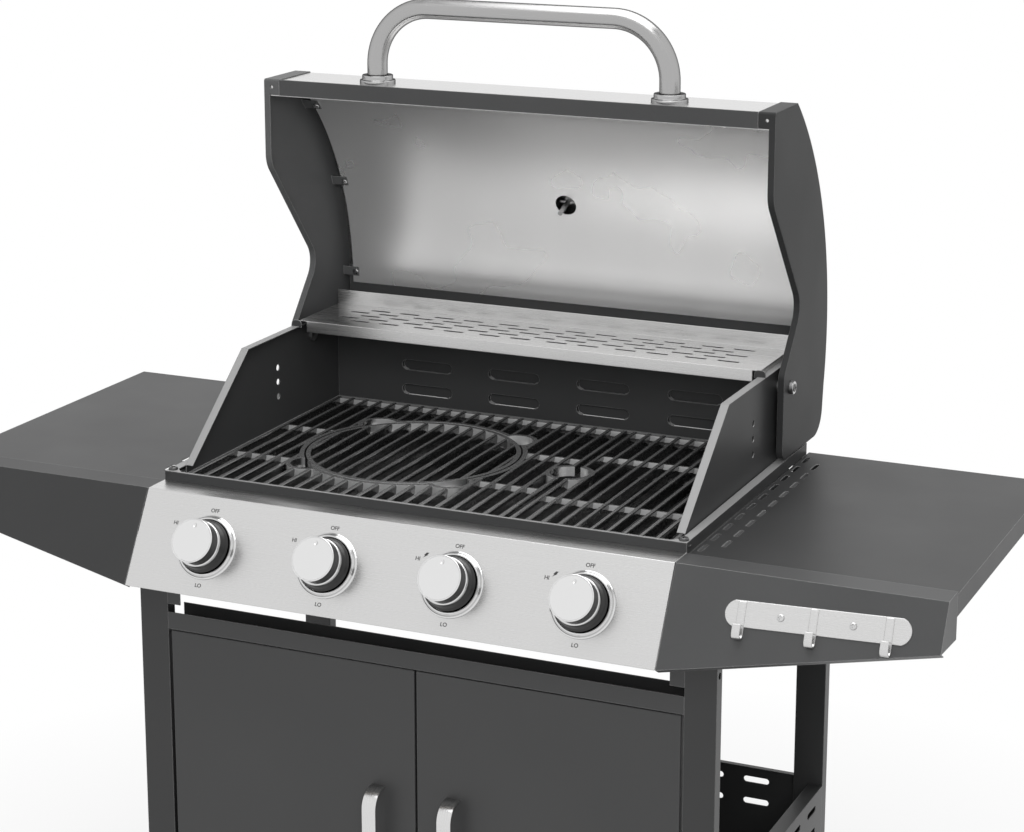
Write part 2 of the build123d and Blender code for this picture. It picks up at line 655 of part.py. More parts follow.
def side_wall():
    """The right wall: upright sheet with a flange turned in along its slanted front and its top."""
    foot, brow = LEDGE_TOP, LEDGE_TOP + WALL_FRONT_RISE
    outline = [(WALL_FRONT, foot), (WALL_FRONT, brow), (WALL_SHOULDER, WALL_TOP), (WALL_REAR, WALL_TOP),
               (WALL_REAR, foot)]
    wall = along_x(side_face(outline), WALL_OUT - SHEET, WALL_OUT)
    edge = [(WALL_FRONT, brow), (WALL_SHOULDER, WALL_TOP), (WALL_REAR - SHEET, WALL_TOP)]
    wall += folded(edge, -SHEET, WALL_OUT - WALL_FLANGE, WALL_OUT)
    tab = block((WALL_OUT - TAB_LONG, WALL_OUT), (TAB_FRONT, TAB_FRONT + SHEET),
                (WALL_TOP - SHEET, WALL_TOP + TAB_TALL))
    wall += fillet(tab.edges().filter_by(Axis.Y).group_by(Axis.Z)[-1], TAB_ROUND)
    for z in WALL_HOLE_Z:
        wall -= rod((WALL_OUT - SHEET * 2, WALL_HOLE_Y, z), (1, 0, 0), WALL_HOLE, SHEET * 3)
    wall -= rod((WALL_OUT - SHEET * 2, HINGE_Y, HINGE_Z), (1, 0, 0), HINGE_RADIUS + PIN_GAP, SHEET * 3)
    return wall


def firebox_side_walls():
    return both_sides(side_wall())


def louvre_space(x, z, margin, y0, y1):
    """A round-ended space square to the rear wall."""
    outline = SlotOverall(LOUVRE_LONG - 2 * margin, LOUVRE_TALL - 2 * margin)
    return Pos(x, y0, z) * Rot(-90, 0, 0) * extrude(outline, amount=y1 - y0)


def firebox_back_wall():
    """The rear wall with rows of round-ended louvres pressed outwards, each open along its foot."""
    half = WALL_OUT - SHEET
    wall = block((-half, half), (WALL_REAR - SHEET, WALL_REAR), (LEDGE_TOP, WALL_TOP))
    brow = WALL_REAR + LOUVRE_DEEP
    for x in spread(LOUVRE_COUNT, LOUVRE_PITCH):
        for z in LOUVRE_Z:
            wall += louvre_space(x, z, 0, WALL_REAR - SHEET, brow)
            wall -= louvre_space(x, z, SHEET, WALL_REAR - 2 * SHEET, brow - SHEET)
            straight = (LOUVRE_LONG - LOUVRE_TALL) / 2
            low = z - LOUVRE_TALL / 2
            wall -= block((x - straight, x + straight), (WALL_REAR, brow - SHEET), (low, low + SHEET))
    return [wall]


def firebox_brackets():
    """Angle irons that hang the firebox between the posts."""
    low = BOX_BOTTOM - 2 * TABLE_FLANGE + SHEET * 2
    front = block((BOX_HALF, POST_IN), (CART_FRONT, CART_FRONT + SHEET), (low, TABLE_Z))
    front += block((POST_IN - SHEET, POST_IN), (CART_FRONT, CART_FRONT + POST_DEEP), (low, TABLE_Z))
    rear = block((BOX_HALF, POST_IN), (CART_REAR - SHEET, CART_REAR), (low, TABLE_Z))
    rear += block((POST_IN - SHEET, POST_IN), (CART_REAR - POST_DEEP, CART_REAR), (low, TABLE_Z))
    return both_sides(front) + both_sides(rear)


def burners():
    """Straight tube burners with a closed rear end, carried by the rear wall on a pin."""
    tubes = []
    for x in KNOB_X:
        z = nozzle_point(x)[2]
        tube = rod((x, BURNER_FRONT, z), (0, 1, 0), BURNER_RADIUS, BURNER_REAR - BURNER_FRONT)
        tube -= rod((x, BURNER_FRONT, z), (0, 1, 0), BURNER_RADIUS - BURNER_WALL,
                    BURNER_REAR - BURNER_FRONT - BURNER_WALL)
        tube += rod((x, BURNER_REAR - BURNER_WALL, z), (0, 1, 0), BURNER_RADIUS / 3,
                    BOX_REAR - SHEET - BURNER_REAR + BURNER_WALL)
        shutter = block((x - BURNER_RADIUS / 2, x + BURNER_RADIUS / 2),
                        [BURNER_FRONT + place for place in AIR_SHUTTER],
                        (z - 2 * BURNER_RADIUS, z + 2 * BURNER_RADIUS))
        tubes.append(tube - shutter)
    return tubes


def heat_tents():
    """A roof-shaped sheet over each burner."""
    tents = []
    for x in KNOB_X:
        roof = [(x + TENT_HALF, TENT_LEDGE_Z), (x, TENT_LEDGE_Z + TENT_RISE), (x - TENT_HALF, TENT_LEDGE_Z)]
        face = Plane.XZ * make_face(Polyline(*roof, *mitred(roof, -TENT_SHEET)[::-1], close=True))
        long_way = BOX_REAR - BOX_FRONT - 2 * SHEET - 2
        tents.append(Pos(0, BOX_REAR - SHEET - 1, 0) * extrude(face, amount=long_way))
    return tents


def tapered_bar(x, y0, y1):
    """One cooking bar along Y, narrower below."""
    half = [(BAR_FOOT / 2, GRATE_FOOT), (BAR_TOP / 2, GRATE_FOOT + BAR_SIDE),
            (BAR_TOP / 2, GRATE_TOP - BAR_EDGE), (BAR_TOP / 2 - BAR_EDGE, GRATE_TOP)]
    outline = half + [(-out, z) for out, z in half[::-1]]
    return Pos(x, y1, 0) * extrude(Plane.XZ * make_face(Polyline(*outline, close=True)), amount=y1 - y0)


def cross_bar(x0, x1, y, top):
    """One cast member along X, narrower above."""
    low = top - CROSS_TALL
    outline = [(y - CROSS_FOOT / 2, low), (y + CROSS_FOOT / 2, low), (y + CROSS_TOP / 2, top),
               (y - CROSS_TOP / 2, top)]
    return along_x(side_face(outline), x0, x1)


def disc(x, y, radius, top=GRATE_TOP):
    return rod((x, y, GRATE_FOOT), (0, 0, 1), radius, top - GRATE_FOOT)


def bar_places(x0, x1, bays):
    return [x0 + (x1 - x0) * index / bays for index in range(bays + 1)]


def notch_places():
    reach = INSERT_RADIUS + INSERT_GAP
    turns = [math.radians(angle) for angle in (45, 135, 225, 315)]
    return [(INSERT_X + reach * math.cos(turn), INSERT_Y + reach * math.sin(turn)) for turn in turns]


def grate(x0, x1, bays, cross_rows):
    """Bars between a front and a rear member, with lower cross members in between."""
    border = CROSS_FOOT / 2
    parts = [tapered_bar(x, GRATE_FRONT, GRATE_REAR) for x in bar_places(x0, x1, bays)]
    for y in (GRATE_FRONT + border, GRATE_REAR - border):
        parts.append(cross_bar(x0, x1, y, GRATE_TOP - BAR_EDGE))
    for low, high, y in cross_rows:
        parts.append(cross_bar(low, high, y, GRATE_TOP - CROSS_DROP))
    return parts[0] + parts[1:]


def inside_half(shape, low, high):
    """The part of a shape between two X."""
    return shape & block((low, high), (GRATE_FRONT, GRATE_REAR), (GRATE_FOOT - 1, GRATE_TOP + 1))


def left_grate():
    right = SPLIT_X - BORDER_GAP
    edge = right + BAR_TOP / 2
    rows = [(LEFT_GRATE_X, INSERT_X, INSERT_Y + row) for row in LEFT_CROSS_ROWS]
    rows += [(INSERT_X, right, INSERT_Y + row) for row in MIDDLE_CROSS_ROWS]
    body = grate(LEFT_GRATE_X, right, LEFT_BAYS, rows)
    hole = INSERT_RADIUS + INSERT_GAP
    rings = disc(INSERT_X, INSERT_Y, hole + RING_WALL)
    hollow = disc(INSERT_X, INSERT_Y, hole)
    for x, y in notch_places():
        rings += disc(x, y, NOTCH_RADIUS + RING_WALL)
        hollow += disc(x, y, NOTCH_RADIUS)
    rings += disc(SPLIT_X, LIFT_Y, LIFT_RADIUS + RING_WALL)
    hollow += disc(SPLIT_X, LIFT_Y, LIFT_RADIUS)
    left = LEFT_GRATE_X - BAR_TOP / 2
    body = inside_half(body + rings, left, edge) - hollow
    return [body]


def right_grate():
    left = SPLIT_X + BORDER_GAP
    edge = left - BAR_TOP / 2
    rows = [(left, RIGHT_GRATE_X, row) for row in RIGHT_CROSS_ROWS]
    body = grate(left, RIGHT_GRATE_X, RIGHT_BAYS, rows)
    ring = disc(SPLIT_X, LIFT_Y, LIFT_RADIUS + RING_WALL)
    body = inside_half(body + ring, edge, RIGHT_GRATE_X + BAR_TOP / 2)
    return [body - disc(SPLIT_X, LIFT_Y, LIFT_RADIUS)]


def grate_insert():
    """The round lift-out centre, its bars in line with those of the left grate, on three lugs."""
    bars = [tapered_bar(x, INSERT_Y - INSERT_RADIUS, INSERT_Y + INSERT_RADIUS)
            for x in bar_places(LEFT_GRATE_X, SPLIT_X - BORDER_GAP, LEFT_BAYS)
            if abs(x - INSERT_X) < INSERT_RADIUS]
    body = bars[0] + bars[1:]
    body &= disc(INSERT_X, INSERT_Y, INSERT_RADIUS)
    body += disc(INSERT_X, INSERT_Y, INSERT_RADIUS) - disc(INSERT_X, INSERT_Y, INSERT_RADIUS - RING_WALL)
    for angle in (0, 90, 180, 270):
        reach = INSERT_RADIUS + INSERT_GAP - GAP
        lug = block((0, reach), (-BAR_TOP, BAR_TOP), (GRATE_FOOT, GRATE_FOOT + BAR_TALL / 3))
        lug -= rod((0, 0, GRATE_FOOT), (0, 0, 1), INSERT_RADIUS - RING_WALL / 2, BAR_TALL)
        body += Pos(INSERT_X, INSERT_Y, 0) * Rot(0, 0, angle) * lug
    return [body]


def warming_rack():
    """A slotted stainless shelf on the wall tops, with turned-down edges, a front lip and a rear flange."""
    top = WALL_TOP + RACK_RISE + RACK_SHEET
    under = WALL_TOP + RACK_RISE
    rack = block((-RACK_HALF, RACK_HALF), (RACK_FRONT, RACK_REAR), (under, top))
    rack += block((-RACK_HALF, RACK_HALF), (RACK_REAR - RACK_SHEET, RACK_REAR),
                  (under, top + RACK_BACK_RISE))
    rack += block((-RACK_LIP_HALF, RACK_LIP_HALF), (RACK_FRONT, RACK_FRONT + RACK_SHEET),
                  (top - RACK_LIP, top))
    foot = block((RACK_HALF - RACK_SHEET, RACK_HALF), (RACK_FRONT, RACK_REAR), (WALL_TOP, under))
    rack += both_sides(foot)
    places = []
    for row in range(RACK_SLOT_ROWS):
        shift = (-1) ** row * RACK_SLOT_PITCH / 4
        columns = [x + shift + (-1) ** index * RACK_PAIR_SHIFT
                   for index, x in enumerate(spread(RACK_SLOT_COLUMNS, RACK_SLOT_PITCH))]
        places += [(x, RACK_SLOT_FRONT + row * RACK_SLOT_ROW_PITCH, top) for x in columns]
    rack -= slots(places, RACK_SLOT_LONG, RACK_SLOT_WIDE, RACK_SHEET * 2)
    return [rack]


# ---- Gas train ----
def nozzle_point(x):
    """Where a valve's rear end meets the burner's axis."""
    return tuple(on_panel(x, KNOB_DOWN, -VALVE_BACK + VALVE_RADIUS).position)


def gas_manifold():
    """The gas rail across the panel's inside, its inlet, and four valves, each with a jet into its burner."""
    half = BODY_HALF - SHEET
    start = on_panel(-half, KNOB_DOWN + MANIFOLD_DROP, -MANIFOLD_IN).position
    rail = rod(tuple(start), (1, 0, 0), MANIFOLD_RADIUS, 2 * half)
    inlet = (INLET_X, start.Y, start.Z)
    rail += rod(inlet, (0, 0, -1), INLET_RADIUS, INLET_LONG)
    inlet_foot = (INLET_X, start.Y, start.Z - INLET_LONG)
    rail -= rod(inlet_foot, (0, 0, 1), INLET_RADIUS / 2, INLET_LONG - INLET_RADIUS)
    for x in KNOB_X:
        body = Cylinder(VALVE_RADIUS, VALVE_BACK - VALVE_FRONT, align=(Align.CENTER, Align.CENTER, Align.MAX))
        rail += on_panel(x, KNOB_DOWN, -VALVE_FRONT) * body
        px, py, pz = nozzle_point(x)
        rail += rod((px, py, pz), (0, 1, 0), NOZZLE_RADIUS, BURNER_FRONT + NOZZLE_RADIUS - py)
        bore = Cylinder(STEM_RADIUS + PIN_GAP, VALVE_BORE, align=(Align.CENTER, Align.CENTER, Align.MAX))
        rail -= on_panel(x, KNOB_DOWN, 0) * bore
    return [rail]


def valve_stem(x):
    stem = Cylinder(STEM_RADIUS, STEM_IN + KNOB_FOOT + KNOB_BORE_DEEP - GAP * 2,
                    align=(Align.CENTER, Align.CENTER, Align.MIN))
    return [on_panel(x, KNOB_DOWN, -STEM_IN) * stem]


def knob(x):
    """A round knob: flared foot, ring, grip and flat cap, bored for its stem."""
    bore = STEM_RADIUS + PIN_GAP
    end = KNOB_FOOT + KNOB_BORE_DEEP
    outline = [(bore, KNOB_FOOT), (KNOB_SKIRT_RADIUS, KNOB_FOOT), (KNOB_SKIRT_RADIUS, KNOB_FOOT + SKIRT_EDGE),
               (KNOB_RING_RADIUS, KNOB_SHOULDER), (KNOB_RING_RADIUS, KNOB_GRIP_FOOT),
               (KNOB_CAP_RADIUS, KNOB_GRIP_FOOT), (KNOB_CAP_RADIUS, KNOB_FACE - CAP_EDGE),
               (KNOB_CAP_RADIUS - CAP_EDGE, KNOB_FACE), (0, KNOB_FACE), (0, end), (bore, end)]
    return [on_panel(x, KNOB_DOWN) * turned_profile(outline)]


def knob_bezels():
    outline = [(BEZEL_BORE, 0), (BEZEL_RADIUS, 0), (BEZEL_RADIUS, BEZEL_EDGE),
               (BEZEL_RIM + BEZEL_LIP[0], BEZEL_TALL - BEZEL_EDGE), (BEZEL_RIM + BEZEL_LIP[1], BEZEL_TALL),
               (BEZEL_RIM, BEZEL_TALL), (BEZEL_RIM, BEZEL_FLOOR), (BEZEL_BORE, BEZEL_FLOOR)]
    return [on_panel(x, KNOB_DOWN) * turned_profile(outline) for x in KNOB_X]


def slanted_line(length):
    """The (Y, Z) point at a distance down the slanted front."""
    return (PANEL_TOP_Y - math.sin(LEAN) * length, PANEL_TOP_Z - math.cos(LEAN) * length)


def control_panel():
    """The slanted fascia of the knobs, with its top flange, bottom return and end cheeks."""
    low_y, low_z = slanted_line(PANEL_LENGTH)
    face = [(PANEL_TOP_Y, PANEL_TOP_Z), (low_y, low_z)]
    line = [(TRAY_FRONT, PANEL_TOP_Z), *face, (low_y + PANEL_RETURN, low_z)]
    panel = folded(line, SHEET, -BODY_HALF, BODY_HALF)
    cheek = side_face([(CART_FRONT, PANEL_TOP_Z), *face, (CART_FRONT, low_z)])
    panel += both_sides(along_x(cheek, BODY_HALF - SHEET, BODY_HALF))
    for x in KNOB_X:
        panel -= on_panel(x, KNOB_DOWN) * Cylinder(STEM_HOLE, SHEET * 4)
    return [panel]


def grease_tray():
    """A shallow pan on runners under the burner box."""
    z0, z1 = GREASE_TOP - GREASE_DEEP, GREASE_TOP
    y0, y1 = GREASE_FRONT, BOX_REAR
    pan = block((-GREASE_HALF, GREASE_HALF), (y0, y1), (z0, z1))
    pan -= block((-GREASE_HALF + SHEET, GREASE_HALF - SHEET), (y0 + SHEET, y1 - SHEET), (z0 + SHEET, z1))
    pan += both_sides(block((GREASE_HALF, GREASE_HALF + GREASE_RUNNER), (y0, y1), (z1 - SHEET, z1)))
    pan += block((-GREASE_HALF / 3, GREASE_HALF / 3), (y1, y1 + BEAM_DEEP / 2), (z1 - SHEET, z1))
    return [pan]


# ---- Side tables ----
def table_top():
    """The right table: a pan with flanges turned down outside and behind, slotted along its inner edge."""
    span, depth = (POST_IN, TABLE_OUT), (CART_FRONT, TABLE_REAR)
    table = block(span, depth, (TABLE_UNDER, TABLE_Z))
    table += block((TABLE_OUT - SHEET, TABLE_OUT), depth, (TABLE_Z - TABLE_FLANGE, TABLE_Z))
    table += block(span, (TABLE_REAR - SHEET, TABLE_REAR), (TABLE_Z - TABLE_FLANGE, TABLE_Z))
    places = [(OUTER_SLOT_X, y, TABLE_Z) for y in spread(OUTER_SLOTS, OUTER_SLOT_PITCH)]
    places += [(INNER_SLOT_X, y, TABLE_Z) for y in spread(INNER_SLOTS, INNER_SLOT_PITCH)]
    table -= slots(places, TABLE_SLOT_LONG, TABLE_SLOT_WIDE, SHEET * 2, turned=True)
    return table


def left_table_top():
    return [mirror(table_top(), about=Plane.YZ)]


def right_table_top():
    return [table_top()]


def table_fascia():
    """The right fascia: the panel's slant carried on outwards, narrowing to a closed end."""
    end_y, end_z = slanted_line(FASCIA_DROP)
    span = (POST_IN, TABLE_OUT)
    corners = [(span[0], 0), (span[1], 0), (span[1], -FASCIA_DROP), (span[0], -PANEL_LENGTH)]
    front = extrude(PANEL * make_face(Polyline(*corners, close=True)), amount=-SHEET)
    fold = [corners[3], corners[2], (span[1], SHEET - FASCIA_DROP), (span[0], SHEET - PANEL_LENGTH)]
    front += extrude(PANEL * make_face(Polyline(*fold, close=True)), amount=-FASCIA_RETURN)
    front += block(span, (CART_FRONT, PANEL_TOP_Y), (PANEL_TOP_Z - SHEET, PANEL_TOP_Z))
    front += block(span, (CART_FRONT - SHEET, CART_FRONT), (TABLE_Z - TABLE_FLANGE, PANEL_TOP_Z))
    end = side_face([(CART_FRONT, PANEL_TOP_Z), (PANEL_TOP_Y, PANEL_TOP_Z), (end_y, end_z),
                     (CART_FRONT, TABLE_Z - 2 * TABLE_FLANGE)])
    front += along_x(end, span[1] - SHEET, span[1])
    return front


def left_table_fascia():
    return [mirror(table_fascia(), about=Plane.YZ)]


def right_table_fascia():
    return [table_fascia()]


def on_hook_rail(along, out=0):
    """A place on the rail's middle line, at a distance from its inner end."""
    middle = on_panel(HOOK_RAIL_X + HOOK_RAIL_HALF, HOOK_RAIL_DOWN) * Rot(0, 0, HOOK_RAIL_TILT)
    return middle * Pos(along - HOOK_RAIL_HALF, 0, out)


def hook(along):
    """One hook of the tool rail: a strip down its face, round a bend and up again."""
    half, outer = HOOK_WIDE / 2, HOOK_RADIUS + HOOK_RAIL_THICK
    shank = block((-half, half), (-HOOK_DOWN, 0), (0, HOOK_RAIL_THICK))
    tip = block((-half, half), (-HOOK_DOWN, HOOK_TIP - HOOK_DOWN), (2 * outer - HOOK_RAIL_THICK, 2 * outer))
    bend = Rot(0, 90, 0) * (Cylinder(outer, HOOK_WIDE) - Cylinder(HOOK_RADIUS, HOOK_WIDE))
    bend &= block((-half, half), (-outer, 0), (-outer, outer))
    return on_hook_rail(along) * (shank + tip + Pos(0, -HOOK_DOWN, outer) * bend)


def tool_hook_rail():
    """A strip with bowed ends on the right fascia, with hooks folded out of its lower edge."""
    tall, flat = HOOK_RAIL_WIDE / 2, HOOK_RAIL_HALF - HOOK_RAIL_BULGE
    outline = [Line((-flat, tall), (flat, tall)),
               ThreePointArc((flat, tall), (HOOK_RAIL_HALF, 0), (flat, -tall)),
               Line((flat, -tall), (-flat, -tall)),
               ThreePointArc((-flat, -tall), (-HOOK_RAIL_HALF, 0), (-flat, tall))]
    strip = extrude(make_face(outline), amount=HOOK_RAIL_THICK)
    rail = on_hook_rail(HOOK_RAIL_HALF) * strip
    rail += [hook(along) for along in HOOK_PLACES]
    for along in HOOK_SCREW_PLACES:
        rail -= on_hook_rail(along) * Cylinder(SCREW_RADIUS + PIN_GAP, HOOK_RAIL_THICK * 4)
    return [rail]


# ---- Lid, drawn closed ----
def lid_outline():
    """The lid's side outline: upright front, dome, rear, and the notch that clears the firebox walls."""
    brow = (LID_FRONT, LID_BROW_Z)
    dome = ThreePointArc(brow, LID_CROWN, LID_TAIL)
    rest = FilletPolyline(LID_TAIL, LID_REAR_TOP, LID_REAR_FOOT, LID_NOTCH_FOOT, LID_NOTCH_TOP,
                          LID_CHEEK_FOOT, (LID_FRONT, LID_BOTTOM), brow, radius=LID_CORNERS)
    return make_face(dome.edges() + rest.edges())


def lid_region(front_y, low_z, rear_y, rear_z):
    """The area over the notch: down to low_z before front_y, and down to rear_z behind the notch."""
    left, top = LID_FRONT - LINER_SET_IN, LID_TAIL[1] + LINER_SET_IN
    notch_y, notch_z = LID_NOTCH_TOP
    points = [(left, low_z), (front_y, low_z), (front_y, LID_BOTTOM + 2 * LINER_SET_IN),
              (notch_y, notch_z + LINER_SET_IN), (notch_y + 2 * LINER_SET_IN, rear_z), (rear_y, rear_z),
              (rear_y, top), (left, top)]
    return make_face(Polyline(*points, close=True))


def lid_band(near, far, region):
    """The band between two depths inside the lid's outline, kept to a region."""
    outline = lid_outline()
    outer = offset(outline, -near) if near else outline
    return Plane.YZ * ((outer - offset(outline, -far)) & region)


def on_dome(y, depth, x=0):
    """A place on the dome at a depth inside its outline, its own Z pointing outwards."""
    dome = ThreePointArc((LID_FRONT, LID_BROW_Z), LID_CROWN, LID_TAIL)
    centre, radius = dome.arc_center, dome.radius - depth
    rise = math.sqrt(radius ** 2 - (y - centre.X) ** 2)
    return Plane(origin=(x, y, centre.Y + rise), x_dir=(1, 0, 0), z_dir=(0, y - centre.X, rise)).location


def lid_skin():
    depth = SHEET + SKIN_SET_IN
    region = lid_region(SKIN_LIP_Y, LID_BOTTOM - SHEET, LID_REAR_TOP[0] + SHEET, SKIN_REAR_Z)
    half = LID_HALF - SHEET
    skin = along_x(lid_band(depth, depth + THIN, region), -half, half)
    return [skin - on_dome(GAUGE_Y, depth) * Cylinder(GAUGE_STUD_HOLE, THIN * 6)]


def lid_liner():
    """The inner sheet under the dome, its front leg standing on the skin's lip."""
    top_of_lip = LID_BOTTOM + SHEET + SKIN_SET_IN + THIN
    face_y = LID_FRONT + LINER_SET_IN
    region = lid_region(face_y + 2 * THIN, LID_BOTTOM + LINER_SET_IN + 2 * THIN, LINER_REAR_Y,
                        LID_NOTCH_TOP[1] + 2 * LINER_SET_IN)
    liner = along_x(lid_band(LINER_SET_IN, LINER_SET_IN + THIN, region), -LINER_HALF, LINER_HALF)
    liner += block((-LINER_HALF, LINER_HALF), (face_y, face_y + THIN),
                   (top_of_lip, LID_BOTTOM + 2 * LINER_SET_IN))
    liner -= on_dome(GAUGE_Y, SHEET + SKIN_SET_IN) * Cylinder(GAUGE_HOLE, LINER_SET_IN * 3)
    return [liner - liner_screw_holes()]


def liner_screw_holes():
    hole = Cylinder(LINER_SCREW_RADIUS + PIN_GAP, LINER_SET_IN / 2)
    return [on_dome(y, LINER_SET_IN, sign * LINER_SCREW_X) * hole for y in LINER_SCREW_Y for sign in (-1, 1)]


def lid_rear_panel():
    """The dark sheet that carries the liner's line on round the rear of the lid."""
    near = LINER_SET_IN - SHEET
    y0, z0 = LINER_REAR_Y - REAR_PANEL_LAP, SKIN_REAR_Z
    y1, z1 = LID_REAR_TOP[0], LID_TAIL[1]
    region = make_face(Polyline((y0, z0), (y1, z0), (y1, z1), (y0, z1), close=True))
    half = LINER_HALF + REAR_PANEL_OUT
    return [along_x(lid_band(near, LINER_SET_IN - PIN_GAP, region), -half, half)]


def lid_end():
    """The right end: a plate with a flange round it, deep where the skin tucks in, and tabs for the liner."""
    inner = LID_HALF - SHEET
    end = along_x(Plane.YZ * lid_outline(), inner, LID_HALF)
    whole = Pos(0, LID_BROW_Z) * Rectangle(LID_CROWN[1], LID_CROWN[1])
    end += along_x(lid_band(0, SHEET, whole), LID_HALF - END_FLANGE_NARROW, inner)
    block_y = SKIN_LIP_Y - PIN_GAP - SHEET
    deep = lid_region(block_y, LID_BOTTOM - SHEET, LID_REAR_TOP[0] + SHEET, SKIN_REAR_Z + LINER_SET_IN)
    end += along_x(lid_band(0, SHEET, deep), LID_HALF - END_FLANGE, inner)
    over_notch = LID_NOTCH_TOP[1] + 2 * LINER_SET_IN
    for y in LINER_SCREW_Y:
        strip = lid_region(LID_FRONT + LINER_SET_IN, LID_BOTTOM, LID_REAR_TOP[0], over_notch)
        strip &= Pos(y, LID_TAIL[1]) * Rectangle(LINER_TAB_WIDE, LID_TAIL[1] / 2)
        near = LINER_SET_IN + THIN
        end += along_x(lid_band(near, near + SHEET, strip), LINER_TAB_REACH, inner)
    end -= liner_screw_holes()
    end -= rod((inner - SHEET, HINGE_Y, HINGE_Z), (1, 0, 0), HINGE_RADIUS + PIN_GAP, SHEET * 3)
    hole_x = LID_HALF - END_FLANGE / 2
    hole_y = (LID_FRONT + block_y) / 2
    return end - rod((hole_x, hole_y, LID_BOTTOM - SHEET), (0, 0, 1), CORNER_BLOCK_HOLE, SHEET * 3)


def lid_left_end():
    return [mirror(lid_end(), about=Plane.YZ)]


def lid_right_end():
    return [lid_end()]


def lid_front_trim():
    """The dark bar under the lid's front edge, between the two ends."""
    y0 = LID_FRONT + PIN_GAP
    top = LID_BOTTOM + SHEET + SKIN_SET_IN
    return [block((-TRIM_HALF, TRIM_HALF), (y0, y0 + TRIM_DEEP), (LID_BOTTOM, top))]


def lid_handle():
    """A bent tube across the lid's front and the two-step collars round its feet."""
    face = LID_FRONT + SHEET + SKIN_SET_IN
    line = FilletPolyline((-HANDLE_HALF, face, HANDLE_Z), (-HANDLE_HALF, face - HANDLE_STAND, HANDLE_Z),
                          (HANDLE_HALF, face - HANDLE_STAND, HANDLE_Z), (HANDLE_HALF, face, HANDLE_Z),
                          radius=HANDLE_BEND)
    section = Circle(HANDLE_RADIUS) - Circle(HANDLE_RADIUS - HANDLE_WALL)
    start = Plane(origin=(-HANDLE_HALF, face, HANDLE_Z), z_dir=(0, -1, 0))
    pieces = [sweep(start * section, path=line)]
    for x in (-HANDLE_HALF, HANDLE_HALF):
        collar = rod((x, face, HANDLE_Z), (0, -1, 0), COLLAR_RADII[0], COLLAR_TALL[0])
        collar += rod((x, face - COLLAR_TALL[0], HANDLE_Z), (0, -1, 0), COLLAR_RADII[1], COLLAR_TALL[1])
        collar -= rod((x, face, HANDLE_Z), (0, -1, 0), HANDLE_RADIUS + PIN_GAP, sum(COLLAR_TALL))
        pieces.append(collar)
    return pieces


def thermometer():
    """The dial housing on the dome, its stud through to the inside, and the wing nut that clamps it."""
    outer = SHEET + SKIN_SET_IN
    seat = on_dome(GAUGE_Y, outer)
    inside = -THIN - PIN_GAP * 3
    housing = Pos(0, 0, GAUGE_TALL / 2) * Cylinder(GAUGE_RADIUS, GAUGE_TALL)
    housing = fillet(housing.edges().group_by(Axis.Z)[-1], GAUGE_TALL / 3)
    inward = (Align.CENTER, Align.CENTER, Align.MAX)
    stud = Cylinder(GAUGE_STUD_RADIUS, 2 * LINER_SET_IN, align=inward)
    nut = Cylinder(WING_SPAN / 4, WING_SPAN / 3, align=inward)
    nut += Pos(0, 0, -WING_SPAN / 6) * Box(WING_SPAN, WING_SHEET, WING_SPAN / 3, align=inward)
    nut += Cylinder(WING_SPAN * 0.4, THIN * 2, align=inward)
    nut -= Cylinder(GAUGE_STUD_RADIUS + PIN_GAP, 2 * WING_SPAN)
    return [seat * (housing + stud), seat * Pos(0, 0, inside) * nut]


def liner_screws():
    """Pan-head screws through the tabs of the ends into the liner's edges."""
    screw = Cylinder(LINER_SCREW_HEAD, LINER_SCREW_RADIUS, align=(Align.CENTER, Align.CENTER, Align.MAX))
    screw += Cylinder(LINER_SCREW_RADIUS, THIN + SHEET, align=(Align.CENTER, Align.CENTER, Align.MIN))
    screw = Pos(0, 0, -THIN - SHEET - PIN_GAP) * screw
    return [on_dome(y, LINER_SET_IN, sign * LINER_SCREW_X) * screw for y in LINER_SCREW_Y for sign in (-1, 1)]


# ---- Fasteners of the fixed body ----
def mounting_screws():
    """Pan-head screws of the hook rail and the washered bolts in the tray's front corners."""
    screws = []
    for along in HOOK_SCREW_PLACES:
        screw = Cylinder(SCREW_RADIUS, HOOK_RAIL_THICK, align=(Align.CENTER, Align.CENTER, Align.MAX))
        screw += Cylinder(SCREW_RADIUS * 2, SCREW_RADIUS, align=(Align.CENTER, Align.CENTER, Align.MIN))
        screws.append(on_hook_rail(along, HOOK_RAIL_THICK) * screw)
    outward = (Align.CENTER, Align.CENTER, Align.MIN)
    bolt = Cylinder(SCREW_RADIUS * 4, SHEET, align=outward)
    bolt += Pos(0, 0, SHEET) * Cylinder(SCREW_RADIUS * 2.6, SHEET * 2, align=outward)
    bolt += Cylinder(SCREW_RADIUS, SHEET * 5, align=(Align.CENTER, Align.CENTER, Align.MAX))
    return screws + both_sides(Pos(CORNER_BOLT_X, CORNER_BOLT_Y, RIM_TOP) * bolt)


